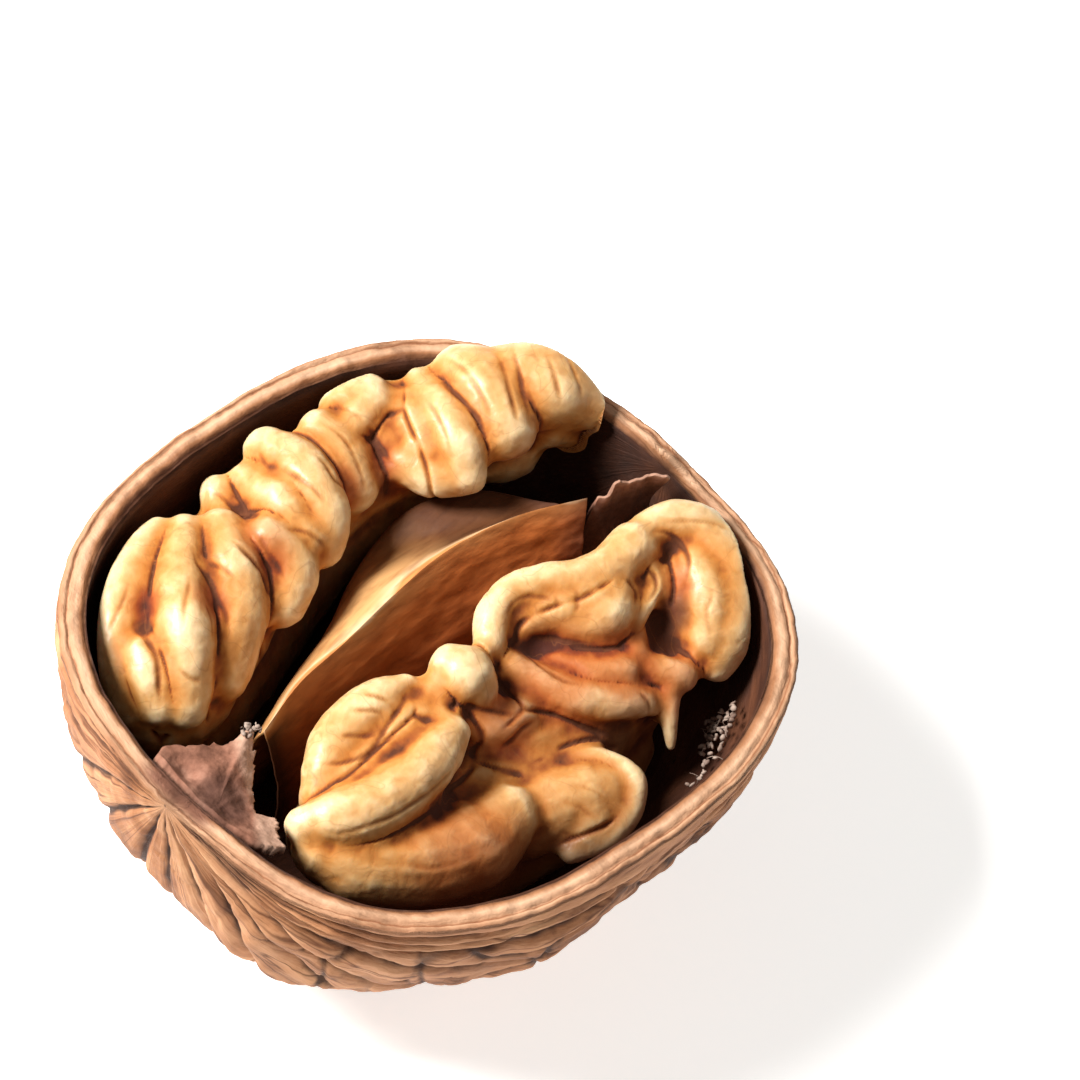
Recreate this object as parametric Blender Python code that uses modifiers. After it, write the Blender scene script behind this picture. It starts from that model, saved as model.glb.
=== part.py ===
"""Half of an opened English walnut: the shell half with its partition, two kernel lobes and
papery remains. X runs along the nut from the stem end to the far end, Z is up, and the
opening faces up."""

import math

import bmesh
import bpy
import numpy as np
from mathutils import Vector, noise

OBJECT_NAME = "walnut"
MM = 0.001

# Outer form of the shell, mm
HALF_LENGTH = 19.0
HALF_WIDTH = 17.5
DEPTH = 16.5
PLAN_POWER = 2.56
DEPTH_POWER = 2.3

# Cavity of the shell, mm
CAVITY_HALF_LENGTH = 17.6
CAVITY_HALF_WIDTH = 16.1
CAVITY_DEPTH = 14.7

# Flat spot under the nut, mm: the form is levelled first and then cut a little higher
FLAT_LEVEL = -16.25
REST_HEIGHT = 16.2
REST_POINT = (0.3, 1.0, -16.5)
REST_CALM = (2.8, 6.5)

# Shell relief, mm
FLANGE_HEIGHT = 2.6
FLANGE_OUT = 0.15
FLANGE_GROOVE = 0.40
CRACK_CELL = 5.2
CRACK_DEPTH = 0.38
CRACK_WIDTH = 0.09
LUMP_SIZE = 7.5
LUMP_OUT = 0.55

# Long furrows that run from end to end: angle round the length in degrees, depth, width,
# reach from the stem end and from the far end as parts of the length, and how many degrees
# the furrow curls round before it comes to an end
FURROWS = (
    (4, 0.20, 0.26, 0.80, 0.90, 0),
    (9, 0.28, 0.30, 0.60, 0.70, 3),
    (16, 0.28, 0.34, 0.45, 0.45, 8),
    (31, 0.26, 0.45, 0.30, 0.36, 12),
    (53, 0.26, 0.40, 0.36, 0.28, 6),
    (76, 0.34, 0.45, 0.30, 0.40, 4),
    (97, 0.26, 0.38, 0.26, 0.30, -6),
    (119, 0.32, 0.42, 0.40, 0.38, -12),
    (141, 0.55, 0.46, 0.46, 0.32, -24),
    (153, 0.30, 0.34, 0.40, 0.50, -16),
    (163, 0.55, 0.42, 0.62, 0.42, -17),
    (167, 0.34, 0.30, 0.85, 0.70, -6),
    (171, 0.36, 0.28, 0.90, 0.90, -2),
    (174, 0.30, 0.24, 0.95, 0.75, 0),
    (177, 0.24, 0.22, 0.90, 0.95, 0),
)

# Broad swellings of the outer face: length position, angle round the length, radius, height
SWELLS = (
    (-16.9, 77, 4.6, 0.85),
    (-16.1, 121, 4.3, 1.1),
    (-4.0, 156, 7.0, 0.4),
)

# Round dents in the outer face: length position, angle round the length, radius, depth
DENTS = (
    (-6.0, 62, 2.6, 0.9),
    (3.5, 48, 2.2, 0.8),
    (8.5, 78, 2.8, 1.0),
    (-6.5, 90, 2.0, 0.6),
    (-7.5, 112, 2.4, 0.8),
    (5.0, 118, 2.7, 1.0),
    (0.5, 141, 1.8, 0.6),
    (11.0, 138, 2.0, 0.7),
    (10.5, 35, 1.9, 0.6),
    (-10.0, 140, 1.5, 0.4),
    (-16.4, 141, 2.2, 0.5),
    (-14.8, 64, 2.0, 0.4),
)

# Ridges of the kernel: points (x, y, z, radius) in mm from the middle of the rim plane
LEFT_RIDGES = {
    "near body": ((-11.0, 8.0, -5.5, 3.6), (-7.5, 9.8, -5.2, 4.0), (-4.0, 11.2, -5.0, 3.8)),
    "middle body": ((-4.0, 11.2, -5.0, 3.7), (0.5, 12.0, -4.6, 3.2), (5.0, 12.0, -4.0, 2.8)),
    "far body": ((5.0, 12.0, -4.0, 2.8), (9.5, 11.0, -3.4, 2.6), (13.9, 8.4, -3.2, 2.4)),
    "under body": ((-8.8, 8.4, -8.2, 3.9), (-3.4, 10.2, -8.6, 3.8), (3.5, 11.2, -7.2, 2.9),
                   (8.5, 10.8, -6.0, 2.6)),
    "left ridge": ((-6.8, 13.9, -1.5, 1.1), (-9.2, 12.9, -1.6, 1.4), (-11.6, 11.4, -2.0, 1.5),
                   (-13.0, 9.6, -2.9, 1.5), (-13.5, 7.9, -4.2, 1.4)),
    "low ridge": ((-12.6, 8.8, -1.6, 0.9), (-12.9, 7.6, -2.2, 1.1), (-13.0, 6.4, -3.3, 1.1)),
    "groove floor": ((-8.4, 11.8, -2.4, 1.4), (-10.6, 9.8, -2.8, 1.6), (-12.2, 8.2, -3.4, 1.4)),
    "middle ridge": ((-5.8, 12.9, -1.2, 1.2), (-7.9, 10.9, -0.9, 1.4), (-9.9, 8.4, -0.9, 1.5),
                     (-11.1, 6.6, -1.9, 1.4), (-11.9, 5.6, -3.4, 1.3)),
    "tan face": ((-4.2, 11.8, -1.2, 1.4), (-5.4, 9.8, -1.4, 1.8), (-6.8, 7.8, -2.2, 1.9),
                 (-8.8, 6.2, -3.5, 1.7)),
    "right knob": ((-2.6, 9.8, -0.9, 1.4), (-2.2, 8.4, -1.6, 1.5), (-3.6, 7.2, -2.8, 1.4)),
    "upper band": ((1.5, 14.3, -0.9, 1.3), (1.6, 12.2, -0.3, 1.5), (1.1, 9.6, -0.8, 1.5),
                   (0.2, 8.4, -2.0, 1.3)),
    "lower band": ((-0.4, 13.6, -1.3, 1.1), (-0.5, 11.1, -0.7, 1.3), (-0.9, 8.9, -1.2, 1.3)),
    "small knob": ((-2.0, 14.3, -1.9, 1.0), (-2.7, 12.9, -2.0, 0.9)),
    "waist": ((4.6, 13.4, -0.8, 1.4), (4.6, 11.9, -1.2, 1.6), (4.2, 10.4, -2.0, 1.6)),
    "pale knob": ((6.9, 14.0, -0.9, 1.4), (8.2, 13.4, -0.6, 1.5), (6.4, 12.8, -0.6, 1.2)),
    "hooked ridge": ((11.0, 12.4, -0.4, 1.0), (10.2, 10.2, 0.3, 1.3), (9.5, 7.9, 0.3, 1.3),
                     (9.1, 6.6, -0.6, 1.1)),
    "hook underside": ((7.3, 9.7, -1.6, 1.2), (8.1, 8.0, -1.5, 1.3), (9.2, 6.7, -1.1, 1.1)),
    "hook edge": ((9.4, 13.1, -1.1, 1.1), (7.8, 11.4, -1.4, 1.2), (7.4, 10.0, -1.7, 1.2)),
    "hook floor": ((9.5, 11.3, -0.8, 1.6), (8.6, 9.4, -1.1, 1.6)),
    "far bulb": ((13.0, 11.0, 0.2, 2.0), (12.8, 9.2, 0.7, 2.1), (12.2, 7.3, 0.2, 1.9)),
    "barrel": ((14.6, 8.9, 0.6, 2.3), (15.9, 7.3, 0.7, 2.3), (17.0, 5.9, 0.2, 1.7)),
    "barrel floor": ((15.9, 7.2, -1.2, 2.0), (17.0, 6.4, -2.0, 1.6)),
}

RIGHT_RIDGES = {
    "lower lobe": ((-12.0, -5.4, -4.0, 1.8), (-10.3, -6.9, -4.7, 2.3), (-7.6, -8.4, -5.2, 2.6),
                   (-4.6, -9.3, -5.4, 2.5), (-2.6, -9.4, -4.9, 1.9)),
    "near body": ((-9.5, -4.4, -6.2, 2.8), (-5.0, -6.0, -7.0, 3.6), (0.0, -7.0, -7.5, 3.8),
                  (5.0, -7.0, -6.8, 3.4)),
    "far body": ((5.0, -6.6, -6.5, 3.4), (9.5, -6.2, -5.5, 3.2), (13.0, -6.0, -4.8, 2.8)),
    "under body": ((-6.5, -6.6, -9.2, 3.7), (0.5, -7.4, -9.8, 3.9), (7.0, -7.0, -8.8, 3.6)),
    "core": ((0.5, -5.0, -5.0, 2.4), (5.0, -5.0, -4.2, 2.2), (9.5, -5.0, -3.6, 2.2)),
    "upper lip": ((-9.5, -2.3, -2.6, 1.3), (-8.0, -1.6, -2.2, 1.5), (-6.2, -1.3, -1.8, 1.5),
                  (-4.5, -1.3, -1.5, 1.3), (-3.2, -1.5, -1.2, 0.8)),
    "lip floor": ((-9.8, -3.4, -3.8, 1.7), (-6.4, -3.3, -3.4, 1.8), (-3.6, -3.0, -2.6, 1.6)),
    "lower lip": ((-12.5, -4.2, -2.7, 1.1), (-11.2, -5.1, -2.2, 1.5), (-9.4, -5.8, -1.9, 1.6),
                  (-7.2, -5.9, -1.8, 1.6), (-4.6, -5.5, -1.8, 1.5), (-3.0, -4.9, -1.8, 1.1)),
    "lip end": ((-3.2, -4.6, -1.7, 0.9), (-2.7, -3.3, -1.5, 0.7), (-2.7, -2.3, -1.3, 0.6)),
    "small knob": ((-0.45, -2.3, -0.9, 1.4), (-0.2, -3.0, -0.9, 1.6), (0.0, -3.6, -1.4, 1.35)),
    "bead": ((-2.2, -2.5, -1.0, 0.5), (-2.1, -3.2, -1.2, 0.5)),
    "knob root": ((-0.6, -3.8, -2.8, 1.4), (0.2, -5.2, -3.6, 1.5), (1.6, -5.6, -3.3, 1.2)),
    "wavy ridge": ((2.4, -2.2, -1.0, 0.9), (3.6, -1.2, -0.7, 1.0), (5.2, -0.9, -0.4, 1.1),
                   (6.9, -1.6, -0.1, 1.1), (8.5, -2.7, 0.0, 1.2), (10.4, -3.1, 0.1, 1.3),
                   (12.6, -2.8, 0.1, 1.4)),
    "wavy lower": ((4.5, -1.9, -1.8, 0.7), (6.1, -2.6, -1.8, 1.1), (7.4, -3.8, -1.4, 1.4),
                   (8.7, -4.6, -0.9, 1.6), (9.6, -4.2, -0.6, 1.4)),
    "arch": ((12.3, -2.7, 0.0, 1.2), (14.4, -2.8, 0.2, 1.3), (15.9, -4.0, 0.0, 1.5),
             (16.1, -5.9, -0.4, 1.5), (15.1, -7.7, -1.0, 1.5), (13.9, -9.0, -2.0, 1.4),
             (12.8, -9.5, -3.2, 1.2)),
    "arch inner ridge": ((15.0, -4.4, -0.3, 0.8), (14.6, -6.1, -0.5, 1.1),
                         (14.1, -7.6, -1.0, 1.2)),
    "arch floor": ((13.9, -4.4, -1.9, 1.5), (13.6, -6.5, -2.2, 1.6), (12.9, -8.2, -3.0, 1.4)),
    "arch root": ((13.2, -4.7, -2.4, 1.6), (13.2, -6.7, -2.8, 1.8), (12.7, -8.2, -3.8, 1.6)),
    "hollow floor": ((6.0, -1.7, -1.6, 1.1), (7.3, -2.6, -1.1, 1.3), (8.9, -3.8, -0.7, 1.3)),
    "hollow root": ((5.0, -2.2, -3.2, 1.1), (6.7, -2.8, -3.2, 1.3), (8.3, -3.5, -2.6, 1.3)),
    "thin ridge": ((12.3, -4.4, -0.2, 0.5), (11.8, -5.2, -0.5, 0.5), (10.8, -5.5, -0.8, 0.5),
                   (10.0, -5.7, -1.0, 0.5)),
    "pink ridge": ((3.0, -3.4, -2.0, 1.0), (3.9, -5.2, -2.5, 1.2), (5.0, -7.2, -2.9, 1.2),
                   (6.4, -8.4, -2.9, 1.1), (7.8, -8.4, -2.9, 1.1)),
    "outer knob": ((8.2, -7.0, -3.0, 1.1), (9.5, -8.3, -2.8, 1.0), (10.4, -9.3, -3.0, 0.9)),
    "outer arm": ((9.6, -8.9, -3.3, 0.9), (8.7, -10.2, -3.9, 0.7), (7.8, -11.5, -5.0, 0.4)),
    "low ridge": ((1.0, -6.6, -4.5, 1.2), (3.2, -7.2, -4.2, 1.2), (5.3, -8.2, -4.0, 1.2),
                  (7.0, -9.0, -3.9, 1.1)),
    "side lobe rim": ((2.2, -8.7, -4.6, 0.6), (3.8, -10.0, -4.1, 0.6), (4.3, -11.9, -4.1, 0.6),
                      (3.5, -13.0, -4.8, 0.7), (1.7, -13.3, -5.6, 0.7), (-0.3, -12.5, -6.4, 0.7)),
    "side lobe floor": ((1.0, -10.4, -5.2, 1.6), (2.9, -11.2, -5.1, 1.6), (1.4, -11.9, -5.9, 1.7)),
    "side lobe": ((-0.8, -9.2, -6.4, 2.4), (0.6, -9.9, -5.9, 2.3), (2.4, -11.0, -5.6, 2.2)),
}

# Partition between the lobes: points (x, y, z) in mm along each of its edges and folds
PARTITION_RAILS = (
    ((-9.2, 3.4, -11.0), (-5.2, 4.6, -11.2), (-1.4, 5.4, -10.4), (3.0, 7.8, -6.8),
     (6.6, 8.4, -4.5), (10.3, 7.0, -3.9), (13.1, 3.9, -4.2)),
    ((-9.4, 2.8, -6.0), (-5.8, 4.2, -5.8), (-1.8, 5.4, -5.2), (2.6, 7.0, -4.6),
     (6.6, 5.6, -3.4), (9.9, 4.0, -2.6), (12.9, 2.2, -2.0)),
    ((-9.8, 1.8, -3.2), (-6.4, 2.8, -2.9), (-2.9, 3.2, -2.7), (1.4, 3.7, -2.1),
     (5.2, 3.8, -1.5), (9.3, 2.9, -0.8), (13.0, 1.3, -0.4)),
    ((-9.4, 1.0, -5.6), (-6.0, 1.4, -5.6), (-2.4, 1.7, -5.2), (1.8, 2.2, -4.4),
     (5.6, 2.3, -3.6), (9.3, 1.7, -2.8), (12.6, 0.7, -2.0)),
    ((-9.0, 0.4, -9.0), (-5.6, 0.5, -9.0), (-2.0, 0.6, -8.6), (2.0, 0.6, -7.6),
     (5.8, 0.6, -6.6), (9.3, 0.4, -5.6), (12.2, 0.0, -4.6)),
)
PARTITION_THICKNESS = 0.8

# Feet of the partition on the floor of the cavity: points (x, y) in mm on each side
LEFT_FOOT = ((-9.0, 3.6), (-5.2, 4.8), (-1.4, 5.6), (3.0, 6.6), (6.6, 6.8), (10.2, 5.2),
             (13.2, 2.8))
RIGHT_FOOT = ((-8.8, 0.6), (-5.6, 0.7), (-2.0, 0.8), (2.0, 0.8), (5.8, 0.8), (9.6, 0.7),
              (12.8, 0.5))

# Papery flap at the stem end: outline points (x, y, z) in mm, its middle and its thickness
STEM_FLAP = ((-16.9, 2.8, -0.3), (-16.0, 3.0, -0.6), (-13.9, 2.0, -1.0), (-12.6, 1.5, -1.2),
             (-11.4, 1.5, -1.1), (-12.2, 0.3, -1.5), (-13.5, -1.0, -1.7), (-14.4, -2.4, -1.8),
             (-14.0, -3.2, -1.7), (-14.3, -4.0, -1.5), (-15.2, -5.0, -1.4), (-16.1, -4.3, -0.9),
             (-16.8, -2.6, -0.6), (-17.0, -1.0, -0.4), (-17.0, 1.2, -0.3))
FLAP_HUB = (-16.1, -1.1, -0.9)
FLAP_THICKNESS = 0.6

# Torn papery sheet at the far end: foot and top points in mm
FAR_SHEET_FOOT = ((12.9, 0.2, -6.4), (14.2, -0.6, -5.6), (15.4, -0.8, -4.4), (16.4, -0.6, -3.0))
FAR_SHEET_TOP = ((13.6, 0.6, -1.6), (14.8, 0.0, 0.2), (16.0, -0.6, 1.2), (16.7, -1.2, 0.1))
SHEET_THICKNESS = 0.5

GAP = 0.35
FOOT_GAP = 0.75
KERNEL_VOXEL = 0.24
LEFT_FILL = 0.55
RIGHT_FILL = 0.42
KERNEL_SHARE = 0.065
SHELL_SHARE = 0.135
SLAB_SIDE = 30.0
SLAB_HEIGHT = 4.0
SHELL_ALONG = 150
SHELL_AROUND = 96


def clear_scene():
    for item in list(bpy.data.objects):
        bpy.data.objects.remove(item, do_unlink=True)


def collection(name, hidden):
    made = bpy.data.collections.new(name)
    bpy.context.scene.collection.children.link(made)
    made.hide_render = hidden
    return made


def material(name, colour, roughness):
    made = bpy.data.materials.new(name)
    made.use_nodes = True
    shader = made.node_tree.nodes["Principled BSDF"]
    shader.inputs["Base Color"].default_value = (*colour, 1.0)
    shader.inputs["Roughness"].default_value = roughness
    shader.inputs["Metallic"].default_value = 0.0
    return made


def form_radius(directions, length, width, depth):
    """Distance from the middle of the rim plane to a rounded box form, along each direction."""
    plan = (np.abs(directions[:, 0]) / length) ** PLAN_POWER
    plan = plan + (np.abs(directions[:, 1]) / width) ** PLAN_POWER
    down = (np.abs(directions[:, 2]) / depth) ** DEPTH_POWER
    return (plan ** (DEPTH_POWER / PLAN_POWER) + down) ** (-1.0 / DEPTH_POWER)


def cavity_radius(directions):
    return form_radius(directions, CAVITY_HALF_LENGTH, CAVITY_HALF_WIDTH, CAVITY_DEPTH)


def smooth_step(low, high, value):
    part = np.clip((value - low) / (high - low), 0.0, 1.0)
    return part * part * (3.0 - 2.0 * part)


def on_form(x, angle):
    """Point of the outer form at a length position and an angle round the length."""
    ring = (1.0 - min(1.0, abs(x) / HALF_LENGTH) ** PLAN_POWER) ** (1.0 / PLAN_POWER)
    turn = math.radians(angle)
    aim = np.array([[x, HALF_WIDTH * ring * math.cos(turn), -DEPTH * ring * math.sin(turn)]])
    aim = aim / np.linalg.norm(aim)
    return (aim * form_radius(aim, HALF_LENGTH, HALF_WIDTH, DEPTH)[:, None])[0]


def crack_net(points):
    """Depth of the net of thin cracks, which runs between plates a few millimetres wide."""
    depth = np.zeros(len(points))
    for index, point in enumerate(points):
        warp = noise.noise_vector(Vector(point) * 0.21) * 1.6
        place = (Vector(point) + warp) / CRACK_CELL
        place.x *= 0.72
        near = noise.voronoi(place)[0]
        edge = (near[1] - near[0]) / CRACK_WIDTH
        depth[index] = math.exp(-edge * edge) * (0.55 + 0.45 * noise.noise(place * 0.9))
    return depth * CRACK_DEPTH


def lumps(points):
    """Broad hollows and swellings of the outer face."""
    height = [noise.fractal(Vector(point) / LUMP_SIZE, 0.9, 2.1, 3) for point in points]
    return LUMP_OUT * (np.clip(np.array(height), -0.9, 0.5) - 0.2)


def furrows(points):
    """Depth of the long furrows that gather at both ends."""
    ring = np.hypot(points[:, 1], points[:, 2])
    angle = np.degrees(np.arctan2(-points[:, 2], points[:, 1]))
    along = points[:, 0] / HALF_LENGTH
    depth = np.zeros(len(points))
    for number, (middle, deep, wide, stem, far, curl) in enumerate(FURROWS):
        sway = 2.2 * np.sin(along * 4.1 + number * 1.7) * (1.0 - np.abs(along))
        sway = sway + curl * (1.0 - np.exp(-(1.0 - np.abs(along)) / 0.12))
        apart = np.radians(angle - middle - sway) * ring
        stem_side = smooth_step(2.0 * stem - 1.0 + 0.35, 2.0 * stem - 1.0 - 0.1, along)
        far_side = smooth_step(1.0 - 2.0 * far - 0.35, 1.0 - 2.0 * far + 0.1, along)
        line = deep * np.exp(-((apart / wide) ** 2)) * np.maximum(stem_side, far_side)
        depth = np.maximum(depth, line)
    return depth * smooth_step(0.1, 2.6, ring)


def shell_relief(points):
    """How far the outer face of the shell stands out from its form at each point."""
    below = -points[:, 2]
    around = smooth_step(HALF_LENGTH, HALF_LENGTH - 4.5, np.abs(points[:, 0]))
    side = smooth_step(FLANGE_HEIGHT - 0.4, FLANGE_HEIGHT + 1.4, below)
    ends = smooth_step(HALF_LENGTH - 0.3, HALF_LENGTH - 5.0, np.abs(points[:, 0]))
    height = -0.15 + (lumps(points) - crack_net(points)) * side * (0.3 + 0.7 * ends)
    groove = np.exp(-(((below - FLANGE_HEIGHT) / 0.6) ** 2))
    height = height - FLANGE_GROOVE * groove * around
    height = height + FLANGE_OUT * smooth_step(FLANGE_HEIGHT, FLANGE_HEIGHT - 1.0, below)
    height = height - furrows(points)
    for x, angle, radius, deep in DENTS:
        apart = np.linalg.norm(points - on_form(x, angle), axis=1) / radius
        height = height - deep * np.exp(-(apart ** 2) * 1.6)
        height = height + 0.25 * deep * np.exp(-(((apart - 1.35) / 0.3) ** 2))
    for x, angle, radius, out in SWELLS:
        apart = np.linalg.norm(points - on_form(x, angle), axis=1) / radius
        height = height + out * np.exp(-(apart ** 2))
    from_rest = np.linalg.norm(points - np.array(REST_POINT), axis=1)
    return height * smooth_step(*REST_CALM, from_rest)


def directions(along, around):
    """Rows of directions: poles at both ends of the length, turning from one rim to the other."""
    rows = []
    for step in range(1, along):
        tilt = math.pi * step / along
        part = np.linspace(0.0, 1.0, around + 1)
        turn = np.pi * (part - 0.055 * np.sin(4.0 * np.pi * part) / 2.0)
        rows.append(np.stack([np.full(around + 1, math.cos(tilt)),
                              math.sin(tilt) * np.cos(turn),
                              -math.sin(tilt) * np.sin(turn)], axis=1))
    return np.array(rows)


def rim_height(x, y):
    """The broken rim is a little uneven along its length."""
    wave = noise.noise(Vector((x * 0.16, y * 0.16, 3.7))) * 0.35
    return wave + noise.noise(Vector((x * 0.6, y * 0.6, 9.1))) * 0.12


def shell_points(along, around):
    """Outer and inner rows of points of the shell half, in mm."""
    aims = directions(along, around)
    shape = aims.shape
    flat = aims.reshape(-1, 3)
    form = flat * form_radius(flat, HALF_LENGTH, HALF_WIDTH, DEPTH)[:, None]
    outer = form + flat * shell_relief(form)[:, None]
    outer[:, 2] = np.maximum(outer[:, 2], FLAT_LEVEL)
    inner = flat * cavity_radius(flat)[:, None]
    swell = np.array([noise.noise(Vector(point) / 5.0) for point in inner])
    inner = inner + flat * (0.22 * swell * smooth_step(0.5, 3.0, -inner[:, 2]))[:, None]
    return outer.reshape(shape), inner.reshape(shape)


def shell_mesh(name, along, around):
    outer, inner = shell_points(along, around)
    mesh = bmesh.new()
    crown = (0.0, 0.22, 0.5, 0.78, 1.0)
    lift = (0.0, 0.22, 0.26, 0.18, 0.0)

    def place(point):
        x, y, z = point
        z = z + rim_height(x, y) * smooth_step(-2.0, 0.0, np.array(z))
        return mesh.verts.new((x * MM, y * MM, (float(z) + REST_HEIGHT) * MM))

    def pole(side):
        ends = [np.array([side * (HALF_LENGTH - 0.12), 0.0, 0.0]),
                np.array([side * CAVITY_HALF_LENGTH, 0.0, 0.0])]
        return [place(ends[0] * (1 - t) + ends[1] * t + np.array([0, 0, rise]))
                for t, rise in zip(crown, lift)]

    rings = []
    for outside, inside in zip(outer, inner):
        ring = [place(point) for point in outside]
        ring += [place(outside[-1] * (1 - t) + inside[-1] * t + np.array([0, 0, rise]))
                 for t, rise in zip(crown[1:-1], lift[1:-1])]
        ring += [place(point) for point in inside[::-1]]
        ring += [place(inside[0] * t + outside[0] * (1 - t) + np.array([0, 0, rise]))
                 for t, rise in zip(crown[-2:0:-1], lift[-2:0:-1])]
        rings.append(ring)
    count = len(rings[0])
    for first, second in zip(rings, rings[1:]):
        for index in range(count):
            after = (index + 1) % count
            mesh.faces.new((first[index], first[after], second[after], second[index]))
    far, stem = pole(1.0), pole(-1.0)
    for end, ring, turned in ((far, rings[0], True), (stem, rings[-1], False)):
        spine = [end[0]] * (around + 1) + end[1:-1] + [end[-1]] * (around + 1) + end[-2:0:-1]
        for index in range(count):
            after = (index + 1) % count
            corners = [ring[index], ring[after], spine[after], spine[index]]
            if spine[after] is spine[index]:
                corners = corners[:3]
            mesh.faces.new(corners[::-1] if turned else corners)
    bmesh.ops.recalc_face_normals(mesh, faces=mesh.faces)
    data = bpy.data.meshes.new(name)
    mesh.to_mesh(data)
    mesh.free()
    return data


def smooth_path(points, steps):
    """A soft path through the given points, with steps between each two of them."""
    rows = np.array(points, dtype=float)
    padded = np.vstack([2 * rows[0] - rows[1], rows, 2 * rows[-1] - rows[-2]])
    path = []
    for index in range(len(rows) - 1):
        a, b, c, d = padded[index:index + 4]
        for step in range(steps):
            t = step / steps
            path.append(0.5 * (2 * b + (c - a) * t + (2 * a - 5 * b + 4 * c - d) * t * t
                               + (3 * b - a - 3 * c + d) * t * t * t))
    path.append(rows[-1])
    return np.array(path)


def round_ended(path):
    """The path with points added at both ends whose radius closes to a round end."""
    start, end = [], []
    for angle in (82, 60, 35):
        out, shrink = math.sin(math.radians(angle)), math.cos(math.radians(angle))
        ahead = path[0, :3] - path[1, :3]
        ahead = ahead / np.linalg.norm(ahead)
        start.append([*(path[0, :3] + ahead * path[0, 3] * out), path[0, 3] * shrink])
        ahead = path[-1, :3] - path[-2, :3]
        ahead = ahead / np.linalg.norm(ahead)
        end.append([*(path[-1, :3] + ahead * path[-1, 3] * out), path[-1, 3] * shrink])
    return np.vstack([start, path, end[::-1]])


def ridge_mesh(name, ridges):
    """Round ridges drawn as bevelled curves, as one mesh."""
    curve = bpy.data.curves.new(name, "CURVE")
    curve.dimensions = "3D"
    curve.bevel_depth = MM
    curve.bevel_resolution = 5
    curve.use_fill_caps = True
    for points in ridges.values():
        path = round_ended(smooth_path(points, 6))
        spline = curve.splines.new("POLY")
        spline.points.add(len(path) - 1)
        for spot, (x, y, z, radius) in zip(spline.points, path):
            spot.co = (x * MM, y * MM, (z + REST_HEIGHT) * MM, 1.0)
            spot.radius = radius
    holder = bpy.data.objects.new(name, curve)
    bpy.context.scene.collection.objects.link(holder)
    bpy.context.view_layer.update()
    graph = bpy.context.evaluated_depsgraph_get()
    data = bpy.data.meshes.new_from_object(holder.evaluated_get(graph))
    bpy.data.objects.remove(holder, do_unlink=True)
    return data


def shaped(name, data, changes):
    """The mesh after a list of modifiers, each given as its type and its settings."""
    holder = bpy.data.objects.new(name, data)
    bpy.context.scene.collection.objects.link(holder)
    for kind, settings in changes:
        modifier = holder.modifiers.new(kind.lower(), kind)
        for key, value in settings.items():
            setattr(modifier, key, value)
    bpy.context.view_layer.update()
    graph = bpy.context.evaluated_depsgraph_get()
    result = bpy.data.meshes.new_from_object(holder.evaluated_get(graph))
    bpy.data.objects.remove(holder, do_unlink=True)
    return result


def read_points(data):
    flat = np.empty(len(data.vertices) * 3)
    data.vertices.foreach_get("co", flat)
    return flat.reshape(-1, 3) / MM - np.array([0.0, 0.0, REST_HEIGHT])


def write_points(data, points):
    moved = (points + np.array([0.0, 0.0, REST_HEIGHT])) * MM
    data.vertices.foreach_set("co", moved.reshape(-1))
    data.update()


def keep_in_cavity(points, gap):
    """Pulls points back so that they clear the inner face of the shell."""
    inside = points.copy()
    under = np.minimum(inside[:, 2], 0.0)
    aims = np.stack([inside[:, 0], inside[:, 1], under], axis=1)
    length = np.maximum(np.linalg.norm(aims, axis=1), 1e-6)
    aims = aims / length[:, None]
    over = smooth_step(0.3, 1.5, inside[:, 2]) * 0.9
    allowed = cavity_radius(aims) - gap + over
    shrink = np.minimum(1.0, allowed / length)
    inside[:, 0] *= shrink
    inside[:, 1] *= shrink
    inside[:, 2] = np.where(inside[:, 2] < 0.0, inside[:, 2] * shrink, inside[:, 2])
    return inside


def kernel_mesh(name, ridges, fill, voxel, share):
    """The ridges grown together, with the narrow folds between them filled up to where they
    are twice fill wide."""
    data = ridge_mesh(name, ridges)
    join = ("REMESH", {"mode": "VOXEL", "voxel_size": voxel * MM})
    swell = ("DISPLACE", {"mid_level": 0.0, "strength": fill * MM})
    shrink = ("DISPLACE", {"mid_level": 0.0, "strength": -fill * MM})
    data = shaped(name, data, (join, swell, join, shrink, join,
                               ("SMOOTH", {"factor": 0.5, "iterations": 4})))
    write_points(data, keep_in_cavity(read_points(data), GAP + 0.35))
    return shaped(name, data, (("SMOOTH", {"factor": 0.5, "iterations": 1}),
                               ("DECIMATE", {"ratio": share})))


def on_floor(x, y, gap):
    """Point a small gap above the floor of the cavity at a place in the plan."""
    plan = (abs(x) / CAVITY_HALF_LENGTH) ** PLAN_POWER + (abs(y) / CAVITY_HALF_WIDTH) ** PLAN_POWER
    down = (1.0 - plan ** (DEPTH_POWER / PLAN_POWER)) ** (1.0 / DEPTH_POWER)
    return (x, y, gap - CAVITY_DEPTH * down)


def partition_mesh(name):
    """A folded sheet lofted through its feet, edges and fold lines, then given a thickness."""
    lines = [[on_floor(x, y, FOOT_GAP) for x, y in LEFT_FOOT], *PARTITION_RAILS]
    lines.append([on_floor(x, y, FOOT_GAP) for x, y in RIGHT_FOOT])
    rails = [smooth_path(line, 4) for line in lines]
    mesh = bmesh.new()
    rows = []
    for rail in rails:
        rows.append([mesh.verts.new((x * MM, y * MM, (z + REST_HEIGHT) * MM))
                     for x, y, z in rail])
    for upper, lower in zip(rows, rows[1:]):
        for index in range(len(upper) - 1):
            mesh.faces.new((upper[index], lower[index], lower[index + 1], upper[index + 1]))
    data = bpy.data.meshes.new(name)
    mesh.to_mesh(data)
    mesh.free()
    return data


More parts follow.
